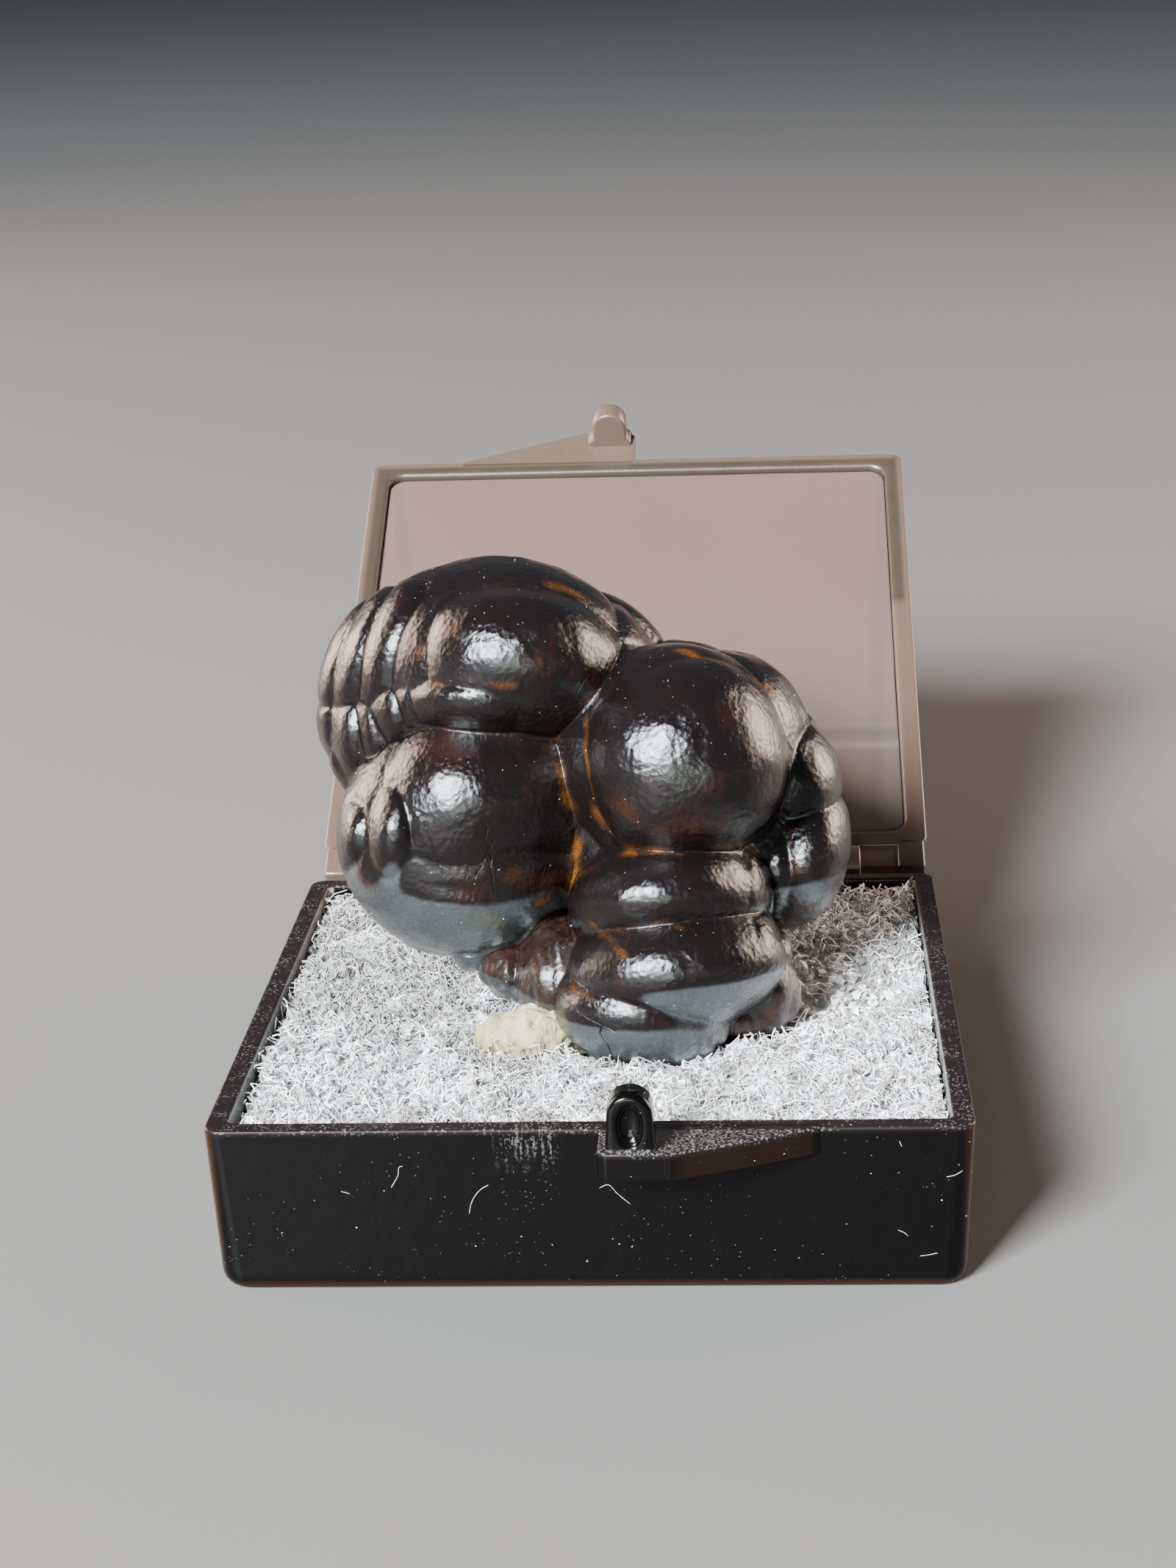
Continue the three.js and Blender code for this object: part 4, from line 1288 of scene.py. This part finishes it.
class SPECIMEN_OT_pad(bpy.types.Operator):
    """Pad: soft flat lining of the lid with faint folds"""

    bl_idname = "specimen.pad"
    bl_label = "Lid Pad"

    def execute(self, context):
        box = context.scene.specimen_box
        edge_z = PAD_FACE_Z + PAD_EDGE
        profile = [(13.0, 14.4), (13.5, 14.2), (13.9, 13.7), (14.25, 13.0), (14.68, 8.6), (PAD_HALF, edge_z)]
        for t in np.linspace(0, math.pi / 2, 7)[1:]:
            profile.append((PAD_HALF - PAD_EDGE * (1 - math.cos(t)), edge_z - PAD_EDGE * math.sin(t)))
        rings = [ring(half, z, PAD_CORNER, *PAD_GRID) for half, z in profile]
        for half in np.linspace(14.1, 0.5, 28):
            rings.append(ring(half, PAD_FACE_Z, max(PAD_CORNER * half / 14.4, 0.05), *PAD_GRID))
        points, faces = lofted(rings)
        faces = [tuple(reversed(face)) for face in faces]
        points = np.array(points)
        points[:, 2] += (points[:, 2] < 7.9) * 0.04 * (1 + ripple(points, 9.0, 41))
        made = piece("lid_pad_skin", open_lid(points), faces, LID, pad_finish(box), ("lid_pad",))
        return {"FINISHED"}


BED_POINTS = 118  # along each side
BED_SLACK = 0.06  # gap to the tray's wall
BED_DROP = 0.28  # bed under the tops of the strands
BED_BOTTOM_Z = 1.3
BED_TAPER = 0.985
UNDER_ORE = 0.25  # gap that the bed keeps from the ore and the putty


class SPECIMEN_OT_foam(bpy.types.Operator):
    """Foam: a bed of shredded white strands and flakes round the ore"""

    bl_idname = "specimen.foam"
    bl_label = "Foam"

    def execute(self, context):
        foam = context.scene.specimen_foam
        lobes = Lobes({**LOBES, **LUMPS}, 0.2)
        count = BED_POINTS
        half = FOAM_HALF - BED_SLACK
        axis = np.linspace(-half, half, count)
        x, y = np.meshgrid(axis, axis)
        flat = np.column_stack([x.ravel(), y.ravel(), np.full(count * count, FOAM_TOP_Z - BED_DROP)])
        wall = half - np.abs(flat[:, :2]).max(axis=1)
        smooth = self.smooth_patch(flat)
        bumps = 0.16 * ripple(flat, 2.2, 51) + 0.10 * ripple(flat, 0.9, 52)
        flat[:, 2] += bumps * (1 - 0.8 * smooth) - 0.1 * np.exp(-wall / 0.25)
        for _ in range(5):
            flat[:, 2] -= np.clip(UNDER_ORE - lobes.skin(flat)[0], 0, 1.2)
        corners = [j * count + i for j in range(count - 1) for i in range(count - 1)]
        faces = [(a, a + 1, a + count + 1, a + count) for a in corners]
        clear = lobes.skin(flat + (0, 0, 0.3))[0]
        open_here = np.clip((clear - 0.1) / 0.3, 0, 1) * np.clip((wall + 0.05) / 0.15, 0, 1)
        masks = {"open": open_here * (1 - 0.86 * smooth), "flaky": open_here * (1 - 0.6 * smooth),
                 "glassy": open_here * (0.12 + 0.88 * smooth)}
        self.bed(flat, faces, smooth, foam)
        finish = foam_finish(foam, "foam_strands_finish", 0.3)
        for name, low, high in [("front", -15.0, -7.0), ("middle", -7.0, 3.0), ("back", 3.0, 9.0),
                                ("rear", 9.0, 15.0)]:
            here = (flat[:, 1] >= low) & (flat[:, 1] < high)
            g = Growth(f"strands_{name}")
            g.scatter(foam.strands, foam.seed, strand_shapes(g, foam), (0.6, 1.5), 1.1, "open", finish)
            grown = g.grown_on(flat + (0, 0, 0.16), faces, {"open": masks["open"] * here})
            grown_piece(f"foam_strands_{name}", grown, FOAM_HALF)
        g = Growth("flakes")
        g.scatter(foam.flakes, foam.seed + 20, flake_shapes(g), (0.35, 1.1), 1.3, "flaky",
                  foam_finish(foam, "foam_flakes_finish", 0.10))
        grown_piece("foam_flakes", g.grown_on(flat + (0, 0, 0.18), faces, masks), FOAM_HALF)
        g = Growth("beads")
        g.scatter(foam.crumbs, foam.seed + 40, speck_shapes(g), (0.18, 0.55), 0.6, "glassy",
                  crumb_finish(foam))
        grown_piece("foam_crumbs", g.grown_on(flat + (0, 0, 0.10), faces, masks), FOAM_HALF)
        return {"FINISHED"}

    @staticmethod
    def smooth_patch(points):
        """1 where the foam is pressed smooth and glassy, to the right of the ore."""
        d = np.hypot((points[:, 0] - 10.3) / 3.6, (points[:, 1] - 1.2) / 5.0)
        return np.clip((1.25 - d) / 0.5, 0, 1)

    @staticmethod
    def bed(flat, faces, smooth, foam):
        """The bed's closed body: the top skin with straight sides and a bottom."""
        count = BED_POINTS
        rim = list(range(count)) + [j * count + count - 1 for j in range(1, count)]
        rim += [(count - 1) * count + i for i in range(count - 2, -1, -1)]
        rim += [j * count for j in range(count - 2, 0, -1)]
        foot = np.column_stack([flat[rim][:, :2] * BED_TAPER, np.full(len(rim), BED_BOTTOM_Z)])
        points = np.vstack([flat, foot])
        base = len(flat)
        walls = []
        for k, top in enumerate(rim):
            after = (k + 1) % len(rim)
            walls.append((rim[after], top, base + k, base + after))
        bottom = [tuple(base + k for k in reversed(range(len(rim))))]
        made = piece("foam_bed", points, faces + walls + bottom, BOX,
                     foam_finish(foam, "foam_bed_skin", 0.55), ("foam_insert",))
        tone = np.concatenate([0.42 - 0.16 * smooth, np.full(len(rim), 0.3)])
        set_attribute(made, "tone", tone)


DUST_SEED = 3
HAIR_RADIUS = 0.008


class SPECIMEN_OT_dust(bpy.types.Operator):
    """Dust: white specks and hairs on the tray and the ore"""

    bl_idname = "specimen.dust"
    bl_label = "Dust"

    def execute(self, context):
        finish = dust_finish()
        for name, source, density, slot in [
            ("tray_specks", "black_tray", 0.25, "tray_plastic"),
            ("ore_specks", "kidney_ore", 0.10, "hematite"),
        ]:
            mesh = bpy.data.objects[source].data
            points = coordinates(mesh) / MM
            seen = ((points[:, 2] > 0.6) & (points[:, 1] < 15.8)).astype(float)
            g = Growth(name)
            g.scatter(density, DUST_SEED, speck_shapes(g), (0.02, 0.065), 0.5, "open", finish)
            faces = [tuple(p.vertices) for p in mesh.polygons]
            grown_piece(name, g.grown_on(points, faces, {"open": seen}))
        shell = Shell()
        for line in HAIRS:
            wall = [(x, -(15.62 + (z - 0.5) * 0.037) - 0.02, z) for x, z in line]
            shell.add(*thread(wall, HAIR_RADIUS))
        piece("tray_hairs", shell.points, shell.faces, BOX, finish)
        return {"FINISHED"}


FLOOR_REACH = 6.0  # metres


class SPECIMEN_OT_stage(bpy.types.Operator):
    """Stage: pale floor, soft studio light and the camera"""

    bl_idname = "specimen.stage"
    bl_label = "Stage"

    def execute(self, context):
        stage = context.scene.specimen_stage
        self.floor(stage)
        self.lights(stage)
        self.camera(context)
        return {"FINISHED"}

    @staticmethod
    def floor(stage):
        mesh = bpy.data.meshes.new("floor")
        corners = [(x * FLOOR_REACH, y * FLOOR_REACH, 0) for x, y in ((-1, -1), (1, -1), (1, 1), (-1, 1))]
        mesh.from_pydata(corners, [], [(0, 1, 2, 3)])
        f = Finish("pale_floor")
        mesh.materials.append(f.done(f.shader(rgba(stage.floor), 0.55, IOR=1.4)))
        new_holder(mesh)

    @staticmethod
    def lights(stage):
        aim = Vector((0.0, 0.0, 14 * MM))
        for name, place, size, power, colour in [
            ("key_softbox", (-0.39, -0.67, 0.46), (0.28, 0.28), stage.key, (0.93, 0.97, 1.0)),
            ("fill_softbox", (-0.05, -0.60, 0.05), (0.15, 0.07), stage.fill, (0.92, 1.0, 0.86)),
            ("left_panel", (-0.33, 0.20, 0.10), (0.26, 0.20), stage.side, (1.0, 0.74, 0.60)),
            ("right_panel", (0.33, 0.20, 0.10), (0.26, 0.20), stage.side, (1.0, 0.74, 0.60)),
        ]:
            light = bpy.data.lights.new(name, "AREA")
            light.shape = "RECTANGLE"
            light.size, light.size_y = size
            light.energy = power
            light.color = colour
            lamp = bpy.data.objects.new(name, light)
            lamp.location = place
            lamp.rotation_mode = "QUATERNION"
            lamp.rotation_quaternion = (aim - Vector(place)).to_track_quat("-Z", "Y")
            bpy.context.scene.collection.objects.link(lamp)
        world = bpy.data.worlds.new("room")
        world.use_nodes = True
        back = world.node_tree.nodes["Background"]
        back.inputs["Color"].default_value = (0.9, 0.93, 1.0, 1.0)
        back.inputs["Strength"].default_value = stage.world
        bpy.context.scene.world = world

    @staticmethod
    def camera(context):
        """Seen from the front, a little to the left of square on and 17 degrees above the floor."""
        azimuth, elevation, roll = math.radians(3.709), math.radians(17.083), math.radians(-1.951)
        distance = 131.62 * MM
        aim = Vector((-0.46, 0.0, 17.25)) * MM
        turn = Matrix.Rotation(azimuth, 4, "Z") @ Matrix.Rotation(math.pi / 2 - elevation, 4, "X")
        turn = turn @ Matrix.Rotation(roll, 4, "Z")
        data = bpy.data.cameras.new("camera")
        data.lens = 67.11
        data.sensor_width = 36.0
        data.clip_start = 0.01
        camera = bpy.data.objects.new("camera", data)
        camera.matrix_world = Matrix.Translation(aim + turn.to_3x3() @ Vector((0, 0, distance))) @ turn
        context.scene.collection.objects.link(camera)
        context.scene.camera = camera


class SPECIMEN_PT_panel(bpy.types.Panel):
    """Lists the pieces of the boxed specimen"""

    bl_idname = "SPECIMEN_PT_panel"
    bl_label = "Specimen"
    bl_space_type = "VIEW_3D"
    bl_region_type = "UI"
    bl_category = "Specimen"

    def draw(self, context):
        for operator in OPERATORS:
            self.layout.operator(operator.bl_idname)
        for name, group in SETTINGS.items():
            column = self.layout.column(align=True)
            for key in group.__annotations__:
                column.prop(getattr(context.scene, name), key)


SETTINGS = {
    "specimen_ore": SPECIMEN_PG_ore,
    "specimen_box": SPECIMEN_PG_box,
    "specimen_foam": SPECIMEN_PG_foam,
    "specimen_stage": SPECIMEN_PG_stage,
}
OPERATORS = (
    SPECIMEN_OT_stage,
    SPECIMEN_OT_tray,
    SPECIMEN_OT_lid,
    SPECIMEN_OT_pad,
    SPECIMEN_OT_ore,
    SPECIMEN_OT_putty,
    SPECIMEN_OT_foam,
    SPECIMEN_OT_dust,
)


def register():
    for cls in (*SETTINGS.values(), *OPERATORS, SPECIMEN_PT_panel):
        bpy.utils.register_class(cls)
    for name, group in SETTINGS.items():
        setattr(bpy.types.Scene, name, PointerProperty(type=group))


def unregister():
    for name in SETTINGS:
        delattr(bpy.types.Scene, name)
    for cls in reversed((*SETTINGS.values(), *OPERATORS, SPECIMEN_PT_panel)):
        bpy.utils.unregister_class(cls)


def main():
    register()
    for operator in OPERATORS:
        group, name = operator.bl_idname.split(".")
        getattr(getattr(bpy.ops, group), name)()


if __name__ == "__main__":
    main()
